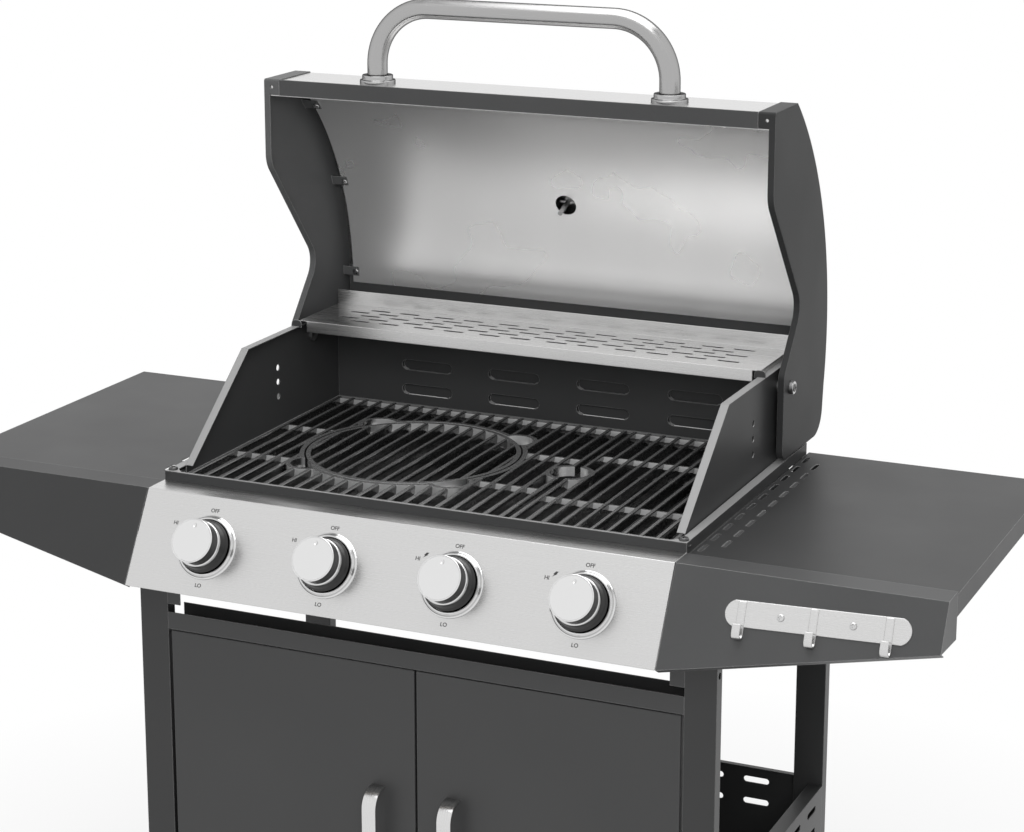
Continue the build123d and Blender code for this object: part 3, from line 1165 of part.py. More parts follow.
def hinge_pins():
    """The doors' pivot pins and the lid's shouldered hinge bolts with their nuts."""
    top = rod((DOOR_PIN_X, DOOR_PIN_Y, BEAM_Z), (0, 0, -1), DOOR_PIN_RADIUS, DOOR_PIN_LONG)
    foot = rod((DOOR_PIN_X, DOOR_PIN_Y, BASE_TOP), (0, 0, 1), DOOR_PIN_RADIUS, DOOR_PIN_LONG)
    nut_x = WALL_OUT - SHEET - HINGE_HEAD_TALL
    bolt = rod((nut_x, HINGE_Y, HINGE_Z), (1, 0, 0), HINGE_RADIUS, LID_HALF + GAP - nut_x)
    bolt += rod((nut_x, HINGE_Y, HINGE_Z), (1, 0, 0), HINGE_HEAD_RADIUS, HINGE_HEAD_TALL)
    bolt += rod((WALL_OUT, HINGE_Y, HINGE_Z), (1, 0, 0), HINGE_HEAD_RADIUS, LID_HALF - SHEET - GAP - WALL_OUT)
    bolt += rod((LID_HALF + GAP, HINGE_Y, HINGE_Z), (1, 0, 0), HINGE_HEAD_RADIUS, HINGE_HEAD_TALL)
    return both_sides(top) + both_sides(foot) + both_sides(bolt)


# ---- Assembly ----
FIXED = [front_posts, rear_posts, front_crossbeam, upper_frame_rails, left_side_panel, right_side_panel,
         back_panel, base_shelf, caster_mounts, firebox_tray, burner_box, firebox_side_walls,
         firebox_back_wall, firebox_brackets, burners, heat_tents, left_grate, right_grate, grate_insert,
         warming_rack, gas_manifold, control_panel, knob_bezels, left_table_top, right_table_top,
         left_table_fascia, right_table_fascia, tool_hook_rail, mounting_screws, hinge_pins]
LID = [lid_skin, lid_liner, lid_rear_panel, lid_left_end, lid_right_end, lid_front_trim, lid_handle,
       thermometer, liner_screws]
DOORS = [left_door, right_door, left_door_handle, right_door_handle]
CASTERS = [(sign, y) for y in CASTER_Y for sign in (-1, 1)]


def all_nodes():
    """Every sub-part by name, as a list of solids at rest: lid open, doors shut."""
    nodes = {make.__name__: make() for make in FIXED + DOORS + [grease_tray]}
    nodes |= {make.__name__: [piece.rotate(HINGE, -90) for piece in make()] for make in LID}
    for index, x in enumerate(KNOB_X, 1):
        nodes[f"valve_stem_{index}"] = valve_stem(x)
        nodes[f"knob_{index}"] = knob(x)
    for index, (sign, y) in enumerate(CASTERS, 1):
        nodes[f"caster_fork_{index}"] = caster_fork(sign, y)
        nodes[f"caster_wheel_{index}"] = caster_wheel(sign, y)
    return {name: [solid for piece in pieces for solid in piece.solids()] for name, pieces in nodes.items()}


NODES = all_nodes()
BOUNDS = Compound([solid for solids in NODES.values() for solid in solids]).bounding_box()
CENTRE_Y = (BOUNDS.min.Y + BOUNDS.max.Y) / 2     # the part's origin lies under the middle of its box

os.makedirs("parts", exist_ok=True)
for name, solids in NODES.items():
    moved = [Pos(0, -CENTRE_Y, 0) * solid for solid in solids]
    export_step(Compound(moved), f"parts/{name}.step")
print(len(NODES), "nodes, centre of depth at", round(CENTRE_Y, 3))
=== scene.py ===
"""Gas barbecue grill: finishes, fine pieces, studio and view. Metres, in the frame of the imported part."""
import bmesh
import bpy
import json
import math
from mathutils import Matrix, Vector
from mathutils.geometry import tessellate_polygon


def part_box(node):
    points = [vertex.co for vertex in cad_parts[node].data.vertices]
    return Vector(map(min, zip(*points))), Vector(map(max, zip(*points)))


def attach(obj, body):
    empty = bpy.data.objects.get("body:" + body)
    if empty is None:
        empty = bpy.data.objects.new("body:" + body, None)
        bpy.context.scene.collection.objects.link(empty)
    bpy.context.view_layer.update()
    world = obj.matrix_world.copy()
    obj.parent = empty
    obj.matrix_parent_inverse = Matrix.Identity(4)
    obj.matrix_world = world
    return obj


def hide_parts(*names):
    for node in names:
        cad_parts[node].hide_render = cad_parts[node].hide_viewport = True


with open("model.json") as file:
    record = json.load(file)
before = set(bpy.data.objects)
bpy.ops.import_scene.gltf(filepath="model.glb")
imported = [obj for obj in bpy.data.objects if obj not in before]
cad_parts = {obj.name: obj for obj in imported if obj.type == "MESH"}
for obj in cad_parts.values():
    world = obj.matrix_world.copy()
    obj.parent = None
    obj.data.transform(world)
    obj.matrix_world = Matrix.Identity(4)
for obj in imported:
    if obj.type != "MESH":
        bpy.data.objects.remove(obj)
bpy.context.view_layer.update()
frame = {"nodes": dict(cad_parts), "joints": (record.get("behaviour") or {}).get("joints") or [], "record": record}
NODES = frame["nodes"]
BODY_OF = {node: body for body, nodes in frame["record"]["behaviour"]["bodies"].items() for node in nodes}
SLOT_OF = {part["node"]: part["material_slot"] for part in frame["record"]["subparts"]}
JOINT = {joint["name"]: joint for joint in frame["joints"]}
MM = 0.001
MICRON = 0.001 * MM
X_AXIS = Vector((1, 0, 0))
Y_AXIS = Vector((0, 1, 0))
Z_AXIS = Vector((0, 0, 1))
KNOBS = (1, 2, 3, 4)
CASTERS = (1, 2, 3, 4)


# ---- View ----
EYE = (1.2345, -2.6772, 1.77865)
LOOK_DOWN = 0.23755      # radians below level
LOOK_LEFT = 0.42313      # radians to the left of straight back


def set_view():
    data = bpy.data.cameras.new("view")
    data.sensor_width = 36
    data.lens = 89.85
    data.shift_x = 0.007
    data.shift_y = -0.09
    data.clip_end = 60
    view = bpy.data.objects.new("view", data)
    view.location = EYE
    view.rotation_euler = (math.pi / 2 - LOOK_DOWN, 0, LOOK_LEFT)
    bpy.context.scene.collection.objects.link(view)
    bpy.context.scene.camera = view


bpy.context.scene.view_settings.view_transform = "Standard"
set_view()


# ---- Nodes ----
def wired(tree, kind, inputs, **settings):
    """A node with its settings; each input is linked to a socket or set to a value."""
    node = tree.nodes.new(kind)
    for label, value in settings.items():
        setattr(node, label, value)
    for label, value in inputs.items():
        socket = node.inputs[label]
        if isinstance(value, bpy.types.NodeSocket):
            tree.links.new(value, socket)
        else:
            socket.default_value = value
    return node


def combined(tree, operation, first, second):
    """Two numbers, each a socket or a value, put through one operation."""
    return wired(tree, "ShaderNodeMath", {0: first, 1: second}, operation=operation).outputs[0]


def sloped(tree, value, start, end, low, high, course="LINEAR"):
    """A number that goes from low to high as a value goes from start to end."""
    limits = {"Value": value, "From Min": start, "From Max": end, "To Min": low, "To Max": high}
    return wired(tree, "ShaderNodeMapRange", limits, interpolation_type=course).outputs["Result"]


# ---- Finishes ----
class Finish:
    """A node material on Object coordinates, or on a piece's own stored coordinates."""

    def __init__(self, name, stored=None, **even):
        self.material = bpy.data.materials.new(name)
        self.material.use_nodes = True
        self.tree = self.material.node_tree
        self.shader = self.tree.nodes["Principled BSDF"]
        for label, value in even.items():
            self.shader.inputs[label.replace("_", " ")].default_value = value
        if stored:
            self.place = self.add("Attribute", {}, attribute_name=stored).outputs["Vector"]
        else:
            self.place = self.add("TexCoord", {}).outputs["Object"]

    def add(self, kind, inputs, **settings):
        return wired(self.tree, "ShaderNode" + kind, inputs, **settings)

    def grain(self, scale, detail=2.0, along=None, rough=0.5):
        """Noise from 0 to 1 round 0.5, on coordinates that may be stretched along each axis."""
        place = self.place
        if along:
            place = self.add("Mapping", {"Vector": place, "Scale": along}).outputs["Vector"]
        inputs = {"Vector": place, "Scale": scale, "Detail": detail, "Roughness": rough}
        return self.add("TexNoise", inputs).outputs["Fac"]

    def between(self, factor, low, high, start=0.3, end=0.7):
        """A number from low to high as the factor goes from start to end."""
        return sloped(self.tree, factor, start, end, low, high)

    def blend(self, factor, low, high):
        """A colour from low to high as the factor goes from 0 to 1; both may be sockets."""
        ends = {index: value if isinstance(value, bpy.types.NodeSocket) else (*value, 1)
                for index, value in ((6, low), (7, high))}
        return self.add("Mix", {"Factor": factor, **ends}, data_type="RGBA").outputs[2]

    def tint(self, factor, low, high, start=0.3, end=0.7):
        """A colour from low to high as the factor goes from start to end."""
        return self.blend(self.between(factor, 0, 1, start, end), low, high)

    def raised(self, height, depth, strength=1.0, under=None):
        """A bump of a depth in metres, on top of other normals where they are given."""
        inputs = {"Height": height, "Distance": depth, "Strength": strength}
        if under is not None:
            inputs["Normal"] = under
        return self.add("Bump", inputs).outputs["Normal"]

    def eased(self, radius):
        """Normals rounded over sharp edges; none for a radius of 0."""
        return self.add("Bevel", {"Radius": radius}, samples=4).outputs["Normal"] if radius else None

    def alike(self, first, second):
        """1 where two directions are the same, 0 where they are square to each other."""
        return self.add("VectorMath", {0: first, 1: second}, operation="DOT_PRODUCT").outputs["Value"]

    def edges(self, radius):
        """1 along the sharp edges of a shape, 0 on its flats."""
        flat = self.add("NewGeometry", {}).outputs["True Normal"]
        return self.between(self.alike(self.eased(radius), flat), 1, 0, 0.8, 0.985)

    def facing(self, way, start, end):
        """1 on faces that look the given way, 0 on the rest."""
        looks = self.add("TexCoord", {}).outputs["Normal"]
        return self.between(self.alike(looks, way), 0, 1, start, end)

    def set(self, **linked):
        for label, socket in linked.items():
            self.tree.links.new(socket, self.shader.inputs[label.replace("_", " ")])
        return self


EDGE_DARK = (0.12, 0.12, 0.12, 1)    # tint of metal where it is seen at a grazing angle
EDGE_WHITE = (1, 1, 1, 1)
ACROSS = 380.0           # how much closer brushed lines lie across than along
EDGE_HIGHLIGHT_WIDTH = 1.4 * MM     # width of the painted highlight along a sharp edge


def grey(value, warm=0.0):
    return (value * (1 + warm), value, value * (1 - warm))


def powder_coat(name, shade, gloss=0.42, speck=0.12, ease=0.0, shine=0.5, edge_highlight=0.0, painted_top_light=0.0):
    """Satin baked paint: fine orange peel, a slight flow of shade, a painted highlight along the sharp edges and
    painted light on upward faces where asked.
    """
    paint = Finish(name, IOR=1.5, Specular_IOR_Level=shine)
    flow = paint.grain(7, 3)
    speckle = paint.grain(1500, 1)
    base = paint.tint(flow, grey(shade * 0.93, -0.015), grey(shade * 1.08, -0.01))
    base = paint.blend(paint.between(speckle, 0, speck), base, grey(shade * 2.4))
    # painted light: faces that look up are drawn lighter, as if lit from above
    if painted_top_light:
        base = paint.blend(paint.facing(Z_AXIS, 0.45, 0.7), base, grey(painted_top_light))
    # painted highlight: a lighter line drawn along every sharp edge
    if edge_highlight:
        base = paint.blend(paint.edges(EDGE_HIGHLIGHT_WIDTH), base, grey(edge_highlight))
    peel = paint.raised(paint.grain(750, 2), 40 * MICRON, 0.7, paint.eased(ease))
    return paint.set(Base_Color=base, Roughness=paint.between(flow, gloss - 0.03, gloss + 0.04), Normal=peel)


def brushed(name, shade, gloss, along, stored=None, fineness=520, depth=4 * MICRON, edge=EDGE_WHITE,
            ease=0.0, metal=1.0, mark=1.0):
    """Brushed steel: fine lines along one direction, faint cloudy marks."""
    steel = Finish(name, stored, Metallic=metal, Specular_Tint=edge)
    stretch = [1.0 if axis == along else ACROSS for axis in "xyz"]
    lines = steel.grain(fineness / 60, 2, along=stretch, rough=0.6)
    cloud = steel.grain(9, 2)
    base = steel.tint(lines, grey(shade * (1 - 0.035 * mark), 0.004),
                      grey(min(shade * (1 + 0.03 * mark), 0.95), 0.004))
    rough = combined(steel.tree, "ADD", steel.between(lines, gloss - 0.05 * mark, gloss + 0.07 * mark),
                     steel.between(cloud, -0.015, 0.02))
    return steel.set(Base_Color=base, Roughness=rough,
                     Normal=steel.raised(lines, depth, 0.5, steel.eased(ease)))


def polished(name, shade, gloss):
    """Bright metal with faint handling marks."""
    metal = Finish(name, Metallic=1.0, Specular_Tint=EDGE_DARK)
    cloud = metal.grain(60, 3)
    base = metal.tint(cloud, grey(shade * 0.94), grey(shade))
    return metal.set(Base_Color=base, Roughness=metal.between(cloud, gloss, gloss + 0.05),
                     Normal=metal.raised(metal.grain(900, 2), 8 * MICRON, 0.4))


def enamelled(name, shade, gloss, peel_size=260, peel_depth=120 * MICRON, ease=0.0, coat=0.0, metal=0.0,
              top=0.0, front=0.0):
    """Vitreous enamel on iron or steel: a glossy skin with soft waves; faces that look up or to the front may be
    drawn lighter as a painted highlight.
    """
    enamel = Finish(name, IOR=1.52, Metallic=metal, Coat_Weight=coat, Coat_Roughness=0.12, Coat_IOR=1.9)
    wave = enamel.grain(peel_size, 2)
    speckle = enamel.grain(2200, 1)
    base = enamel.tint(speckle, grey(shade * 0.8), grey(shade * 1.6))
    # painted highlight: faces that look up are drawn lighter
    if top:
        base = enamel.blend(enamel.facing(Z_AXIS, 0.7, 0.95), base, grey(top))
    # painted highlight: faces that look to the front are drawn lighter, where the front light would catch them
    if front:
        base = enamel.blend(enamel.facing(-Y_AXIS, 0.55, 0.8), base, grey(front))
    return enamel.set(Base_Color=base, Roughness=enamel.between(wave, gloss - 0.05, gloss + 0.08),
                      Normal=enamel.raised(wave, peel_depth, 0.6, enamel.eased(ease)))


def moulded(name, shade, gloss, grain_size=1800):
    """Moulded plastic with a fine spark texture."""
    plastic = Finish(name, IOR=1.46)
    fine = plastic.grain(grain_size, 2)
    base = plastic.tint(plastic.grain(40, 2), grey(shade * 0.9), grey(shade * 1.15))
    return plastic.set(Base_Color=base, Roughness=plastic.between(fine, gloss - 0.05, gloss + 0.08),
                       Normal=plastic.raised(fine, 30 * MICRON, 0.5))


def spangled(name):
    """Galvanised sheet: zinc flakes of slightly different grey."""
    zinc = Finish(name, Metallic=1.0)
    flakes = zinc.add("TexVoronoi", {"Vector": zinc.place, "Scale": 160.0}).outputs["Color"]
    value = zinc.add("SeparateColor", {"Color": flakes}).outputs[0]
    base = zinc.tint(value, grey(0.42), grey(0.58), 0, 1)
    return zinc.set(Base_Color=base, Roughness=zinc.between(value, 0.32, 0.5, 0, 1),
                    Normal=zinc.raised(value, 20 * MICRON, 0.3))


def plated(name, shade, gloss, warm=0.0):
    """Zinc or brass plating with a cloudy bloom."""
    plate = Finish(name, Metallic=1.0)
    bloom = plate.grain(180, 3)
    base = plate.tint(bloom, grey(shade * 0.85, warm), grey(shade * 1.1, warm))
    return plate.set(Base_Color=base, Roughness=plate.between(bloom, gloss - 0.05, gloss + 0.1),
                     Normal=plate.raised(plate.grain(1400, 2), 10 * MICRON, 0.4))


def spun(name, shade, gloss):
    """Metal turned on a lathe: faint rings round the piece's own axis."""
    metal = Finish(name, stored="own", Metallic=1.0, Specular_Tint=EDGE_DARK)
    apart = metal.add("SeparateXYZ", {"Vector": metal.place}).outputs
    squares = [combined(metal.tree, "POWER", apart[index], 2.0) for index in (0, 1)]
    radius = combined(metal.tree, "POWER", combined(metal.tree, "ADD", *squares), 0.5)
    rings = metal.add("TexNoise", {"W": radius, "Scale": 2600.0, "Detail": 2.0}, noise_dimensions="1D")
    rings = rings.outputs["Fac"]
    base = metal.tint(rings, grey(shade * 0.94), grey(min(0.97, shade * 1.03)))
    return metal.set(Base_Color=base, Roughness=metal.between(rings, gloss - 0.04, gloss + 0.06),
                     Normal=metal.raised(rings, 6 * MICRON, 0.5))


FINISH = {
    # the edge values below draw a painted highlight along sharp edges; the firebox paint's top value draws painted
    # light on its upward faces
    "cart_paint": powder_coat("cart powder coat", shade=0.031, ease=1.4 * MM, edge_highlight=0.18),
    "table_paint": powder_coat("table powder coat", shade=0.038, shine=0.3, ease=1.4 * MM, edge_highlight=0.28),
    "firebox_enamel": powder_coat("heat-proof firebox paint", shade=0.044, gloss=0.36, speck=0.05,
                                  ease=1.2 * MM, shine=0.1, edge_highlight=0.28, painted_top_light=0.3),
    "lid_paint": powder_coat("lid powder coat", shade=0.045, shine=0.3, ease=1.0 * MM, edge_highlight=0.22),
    "stainless": brushed("brushed stainless", shade=0.65, gloss=0.27, along="x", ease=1.2 * MM, mark=0.5),
    "galvanised": spangled("galvanised sheet"),
    # the grate's lighter top and front faces are a painted highlight
    "grate_iron": enamelled("enamelled cast iron", shade=0.012, gloss=0.22, peel_depth=30 * MICRON,
                            ease=0.8 * MM, coat=1.0, top=0.13, front=0.34),
    "valve_metal": plated("valve brass", shade=0.45, gloss=0.3, warm=0.25),
    "bezel_chrome": polished("chrome plate", shade=0.7, gloss=0.08),
    "knob_plastic": moulded("knob plastic", shade=0.012, gloss=0.32),
    "caster_steel": plated("zinc plate", shade=0.55, gloss=0.3),
    "wheel_plastic": moulded("wheel rubber", shade=0.02, gloss=0.55, grain_size=900),
}
CAP_METAL = spun("spun cap metal", shade=0.78, gloss=0.2)
# the handle's tube is brushed stainless drawn darker than the panel's: part of its darkness is painted shade in
# place of dark reflections
TUBE_METAL = brushed("brushed tube", shade=0.42, gloss=0.2, along="z", stored="own", fineness=900,
                     edge=EDGE_DARK)
STRAP_METAL = brushed("brushed strap", shade=0.7, gloss=0.26, along="z", stored="own", fineness=900,
                      edge=EDGE_DARK)
# the lid's lining is brushed stainless drawn much lighter than the panel's: part of its brightness is painted
# light
LINER_METAL = brushed("brushed lid lining", shade=0.94, gloss=0.28, along="x", depth=0.1 * MICRON,
                      metal=0.8, mark=0.0)
SCREW_METAL = plated("bright zinc screws", shade=0.6, gloss=0.22)
COLLAR_METAL = polished("collar metal", shade=0.46, gloss=0.16)
DARK_SCREW = enamelled("blackened screws", shade=0.03, gloss=0.3, peel_size=900, peel_depth=30 * MICRON,
                       metal=0.6, coat=0.5)
INK = Finish("printed ink", Roughness=0.55)
INK.set(Base_Color=INK.tint(INK.grain(900, 2), grey(0.015), grey(0.03)))
# Lighter and darker copies of the paints, one for each node, standing for how light falls on it: painted light on
# the lid's left end and the right fascia; painted shade on the lid's right end, the front posts, the right table
# top, the left fascia and the near-black frame rails
LIT_AND_SHADED_COPIES = {node: powder_coat(node.replace("_", " ") + " paint", shade, ease=ease, shine=shine, edge_highlight=edge_highlight)
             for node, shade, ease, shine, edge_highlight in (("lid_left_end", 0.085, 2.5 * MM, 0.1, 0.26),
                                                    ("lid_right_end", 0.028, 2.5 * MM, 0.1, 0.2),
                                                    ("front_posts", 0.019, 1.4 * MM, 0.5, 0.16),
                                                    ("upper_frame_rails", 0.01, 1.4 * MM, 0.2, 0.05),
                                                    ("right_table_top", 0.03, 1.4 * MM, 0.3, 0.28),
                                                    ("left_table_fascia", 0.03, 1.4 * MM, 0.3, 0.28),
                                                    ("right_table_fascia", 0.052, 1.4 * MM, 0.3, 0.3))}
TYRE_RUBBER = moulded("tyre rubber", shade=0.03, gloss=0.6)
DIAL_PAINT = moulded("dial paint", shade=0.75, gloss=0.4)
for node, piece in NODES.items():
    piece.data.materials.clear()
    piece.data.materials.append(FINISH[SLOT_OF[node]].material)


# ---- Making pieces ----
SHEET = 1.0 * MM         # thickness of the doors' sheet
FOLD = 2.0 * MM          # outer radius of a fold in sheet
RIM = 0.3 * MM           # rounding of a sheet's cut edge
SOFT_FROM = math.radians(24)     # edges flatter than this stay as they are
WELD = 0.002 * MM        # points closer than this are one
FLAT = math.radians(0.3)         # faces that turn less than this are one
CUT_EDGE = 2.4 * SHEET   # faces narrower than this are the sheet's cut edges
RIM_SHARE = 0.3          # most of such a face that its rounding may take


def joined(name, meshes):
    """Several meshes as one."""
    whole = bmesh.new()
    for mesh in meshes:
        whole.from_mesh(mesh)
    result = bpy.data.meshes.new(name)
    whole.to_mesh(result)
    whole.free()
    return result


def shown(name, mesh, finish, body, stands_for=(), smooth=40):
    """Puts a finished mesh, or several as one, in the scene as a piece on a body."""
    if isinstance(mesh, list):
        mesh = joined(name, mesh)
    piece = bpy.data.objects.new(name, mesh)
    bpy.context.scene.collection.objects.link(piece)
    if finish is not None:
        mesh.materials.clear()
        mesh.materials.append(finish.material)
    if smooth:
        for face in mesh.polygons:
            face.use_smooth = True
        mesh.set_sharp_from_angle(angle=math.radians(smooth))
    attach(piece, body)
    if stands_for:
        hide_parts(*stands_for)
    return piece


def corners_of(node):
    """The low and the high corner of a node's box."""
    return [Vector(corner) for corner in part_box(node)]


def merged_copy(node):
    """A CAD node's mesh with its triangles joined and its flats whole, ready to work on."""
    mesh = NODES[node].data.copy()
    if "custom_normal" in mesh.attributes:
        mesh.attributes.remove(mesh.attributes["custom_normal"])
    shape = bmesh.new()
    shape.from_mesh(mesh)
    bpy.data.meshes.remove(mesh)
    bmesh.ops.remove_doubles(shape, verts=shape.verts[:], dist=WELD)
    bmesh.ops.dissolve_limit(shape, angle_limit=FLAT, verts=shape.verts[:], edges=shape.edges[:])
    return shape


def reach(face, edge):
    """How far a face goes back from one of its edges."""
    start, along = edge.verts[0].co, (edge.verts[1].co - edge.verts[0].co).normalized()
    return max(((v.co - start) - along * (v.co - start).dot(along)).length for v in face.verts)


def softened(node):
    """The CAD node's shape with real folds and eased rims, in its place."""
    shape = merged_copy(node)
    weight = shape.edges.layers.float.new("bevel_weight_edge")
    for edge in shape.edges:
        if len(edge.link_faces) != 2 or edge.calc_face_angle(0) < SOFT_FROM:
            continue
        narrow = min(reach(face, edge) for face in edge.link_faces)
        if narrow < CUT_EDGE:
            size = min(RIM, narrow * RIM_SHARE)
        elif edge.is_convex:
            size = FOLD
        else:
            size = max(FOLD - SHEET, RIM)
        edge[weight] = size / FOLD
    mesh = bpy.data.meshes.new(node + "_finished")
    shape.to_mesh(mesh)
    shape.free()
    piece = shown(node + "_finished", mesh, FINISH[SLOT_OF[node]], BODY_OF[node], [node],
                  smooth=35)
    bevel = piece.modifiers.new("eased edges", "BEVEL")
    bevel.limit_method = "WEIGHT"
    bevel.width = FOLD
    bevel.segments = 3
    bevel.use_clamp_overlap = False
    bevel.harden_normals = True


# ---- Studio ----
FLOOR_GREY = (0.86, 0.86, 0.86, 1)


def seen_by(tree, *kinds):
    """1 for rays of any of the given kinds, else 0."""
    path = tree.nodes.new("ShaderNodeLightPath").outputs
    seen = path[f"Is {kinds[0]} Ray"]
    for kind in kinds[1:]:
        seen = combined(tree, "MAXIMUM", seen, path[f"Is {kind} Ray"])
    return seen


def set_world(ambient, zenith=0.42):
    """A white room whose ceiling is darker in the shine of metal."""
    world = bpy.data.worlds.new("studio")
    world.use_nodes = True
    bpy.context.scene.world = world
    tree = world.node_tree
    back = tree.nodes["Background"]
    back.inputs["Color"].default_value = (1, 1, 1, 1)
    towards = wired(tree, "ShaderNodeSeparateXYZ",
                    {0: tree.nodes.new("ShaderNodeTexCoord").outputs["Generated"]})
    room = sloped(tree, towards.outputs["Z"], start=0.72, end=0.9, low=1.0, high=zenith, course="SMOOTHSTEP")
    direct = seen_by(tree, "Camera", "Transmission")
    plain = combined(tree, "ADD", combined(tree, "MULTIPLY", direct, 1 - ambient), ambient)
    change = combined(tree, "MULTIPLY", combined(tree, "SUBTRACT", room, plain), seen_by(tree, "Glossy"))
    tree.links.new(combined(tree, "ADD", plain, change), back.inputs["Strength"])


def set_floor(size, share, near=0.7, far=1.6):
    """A pale floor that shades near the object and pales to white from near to far."""
    mesh = bpy.data.meshes.new("floor")
    half = size / 2
    mesh.from_pydata([(-half, -half, 0), (half, -half, 0), (half, half, 0), (-half, half, 0)], [],
                     [(0, 1, 2, 3)])
    floor = bpy.data.objects.new("floor", mesh)
    bpy.context.scene.collection.objects.link(floor)
    material = bpy.data.materials.new("pale floor")
    material.use_nodes = True
    tree = material.node_tree
    shader = tree.nodes["Principled BSDF"]
    shader.inputs["Base Color"].default_value = FLOOR_GREY
    shader.inputs["Roughness"].default_value = 0.9
    place = tree.nodes.new("ShaderNodeTexCoord").outputs["Object"]
    away = wired(tree, "ShaderNodeVectorMath", {0: place}, operation="LENGTH").outputs["Value"]
    paling = combined(tree, "MULTIPLY", seen_by(tree, "Camera", "Glossy", "Transmission"),
                      sloped(tree, away, near, far, share, 1.0))
    glow = tree.nodes.new("ShaderNodeEmission")
    mix = wired(tree, "ShaderNodeMixShader", {0: paling, 1: shader.outputs[0], 2: glow.outputs[0]})
    tree.links.new(mix.outputs[0], tree.nodes["Material Output"].inputs["Surface"])
    mesh.materials.append(material)


def soft_light(name, place, target, width, depth, power, shines=False):
    data = bpy.data.lights.new(name, "AREA")
    data.shape = "RECTANGLE"
    data.size = width
    data.size_y = depth
    data.energy = power
    lamp = bpy.data.objects.new(name, data)
    lamp.location = place
    lamp.rotation_euler = (Vector(target) - Vector(place)).to_track_quat("-Z", "Y").to_euler()
    lamp.visible_glossy = shines
    bpy.context.scene.collection.objects.link(lamp)


set_world(ambient=0.36)
set_floor(size=16, share=0.6)
soft_light("overhead softbox", (0.1, 0.0, 3.4), (0.0, 0, 0.9), width=3.6, depth=2.2, power=66, shines=True)
soft_light("front softbox", (1.35, -3.1, 2.5), (0, 0, 0.95), width=2.0, depth=1.6, power=76)

# ---- Sheet pieces ----
for node in ("left_door", "right_door"):
    softened(node)
for node, paint in LIT_AND_SHADED_COPIES.items():
    NODES[node].data.materials[0] = paint.material
NODES["lid_liner"].data.materials[0] = LINER_METAL.material
# the burner box takes the dark firebox paint: a painted shade for what shows through the slots in the tables
NODES["burner_box"].data.materials[0] = FINISH["firebox_enamel"].material


# ---- Turned, swept and repeated shapes ----
def filleted(corners, steps=4):
    """Corner points of (radius, height, rounding), each rounded with a short arc."""
    points = []
    count = len(corners)
    for index, (x, y, rounding) in enumerate(corners):
        here = Vector((x, y))
        if not rounding or index in (0, count - 1):
            points.append((x, y))
            continue
        before = (Vector(corners[index - 1][:2]) - here).normalized()
        after = (Vector(corners[index + 1][:2]) - here).normalized()
        start, end = here + before * rounding, here + after * rounding
        for step in range(steps + 1):
            t = step / steps
            spot = start * (1 - t) ** 2 + here * 2 * t * (1 - t) + end * t ** 2
            points.append((spot.x, spot.y))
    return points


def in_mm(points):
    return [(radius * MM, height * MM) for radius, height in points]


def circle(shape, radius, height, steps, up=0.0):
    """A loop of points round an upright axis that stands up along Y; one point for a radius of 0."""
    if radius < 1e-9:
        return [shape.verts.new((0, up, height))]
    angles = [2 * math.pi * step / steps for step in range(steps)]
    return [shape.verts.new((radius * math.cos(a), up + radius * math.sin(a), height)) for a in angles]


def bridged(shape, loops, ring=False):
    """Faces from each closed loop of points to the next, and in a ring from the last to the first."""
    for low, high in list(zip(loops, loops[1:])) + ([(loops[-1], loops[0])] if ring else []):
        count = max(len(low), len(high))
        for step in range(count):
            after = (step + 1) % count
            corners = (low[step % len(low)], low[after % len(low)],
                       high[after % len(high)], high[step % len(high)])
            shape.faces.new(list(dict.fromkeys(corners)))


def capped(shape, loops):
    """A solid through closed loops of points, with flat faces at its ends."""
    shape.faces.new(loops[0][::-1])
    shape.faces.new(loops[-1])
    bridged(shape, loops)


def holed(shape, outer, inner):
    """A flat face from an outer loop of points to an inner one."""
    points = outer + inner
    for face in tessellate_polygon([[point.co for point in loop] for loop in (outer, inner)]):
        shape.faces.new([points[index] for index in face])


def turned(shape, profile, steps=96, ring=False):
    """Adds a profile of (radius, height) turned round Z; a ring's profile closes on itself."""
    rows = [circle(shape, radius, height, steps) for radius, height in profile]
    bridged(shape, rows, ring)
    return rows


def finished_mesh(name, shape, seat=None):
    """A closed shape as a mesh, with its own coordinates kept before it goes to its seat."""
    bmesh.ops.recalc_face_normals(shape, faces=shape.faces[:])
    mesh = bpy.data.meshes.new(name)
    shape.to_mesh(mesh)
    shape.free()
    own = mesh.attributes.new("own", "FLOAT_VECTOR", "POINT")
    own.data.foreach_set("vector", [number for vertex in mesh.vertices for number in vertex.co])
    if seat is not None:
        mesh.transform(seat)
    return mesh


def turned_piece(name, profile, seat, steps=96, ring=False):
    """A profile in millimetres turned to a mesh on its seat."""
    shape = bmesh.new()
    turned(shape, in_mm(profile), steps, ring)
    return finished_mesh(name, shape, seat)


def shifted(seat, x, y, z):
    """A seat moved along its own axes, in millimetres."""
    return seat @ Matrix.Translation((x * MM, y * MM, z * MM))


def seat_on(place, out, up=None):
    """A frame at a place with Z along out and Y near up."""
    out = Vector(out).normalized()
    up = Vector(up) if up is not None else (Z_AXIS if abs(out.z) < 0.9 else Y_AXIS)
    side = up.cross(out).normalized()
    up = out.cross(side)
    return Matrix.Translation(place) @ Matrix((side, up, out)).transposed().to_4x4()


def plain_mesh(maker):
    """What an object shows, as a mesh without modifiers; the object itself goes."""
    graph = bpy.context.evaluated_depsgraph_get()
    mesh = bpy.data.meshes.new_from_object(maker.evaluated_get(graph), depsgraph=graph)
    bpy.data.objects.remove(maker)
    return mesh


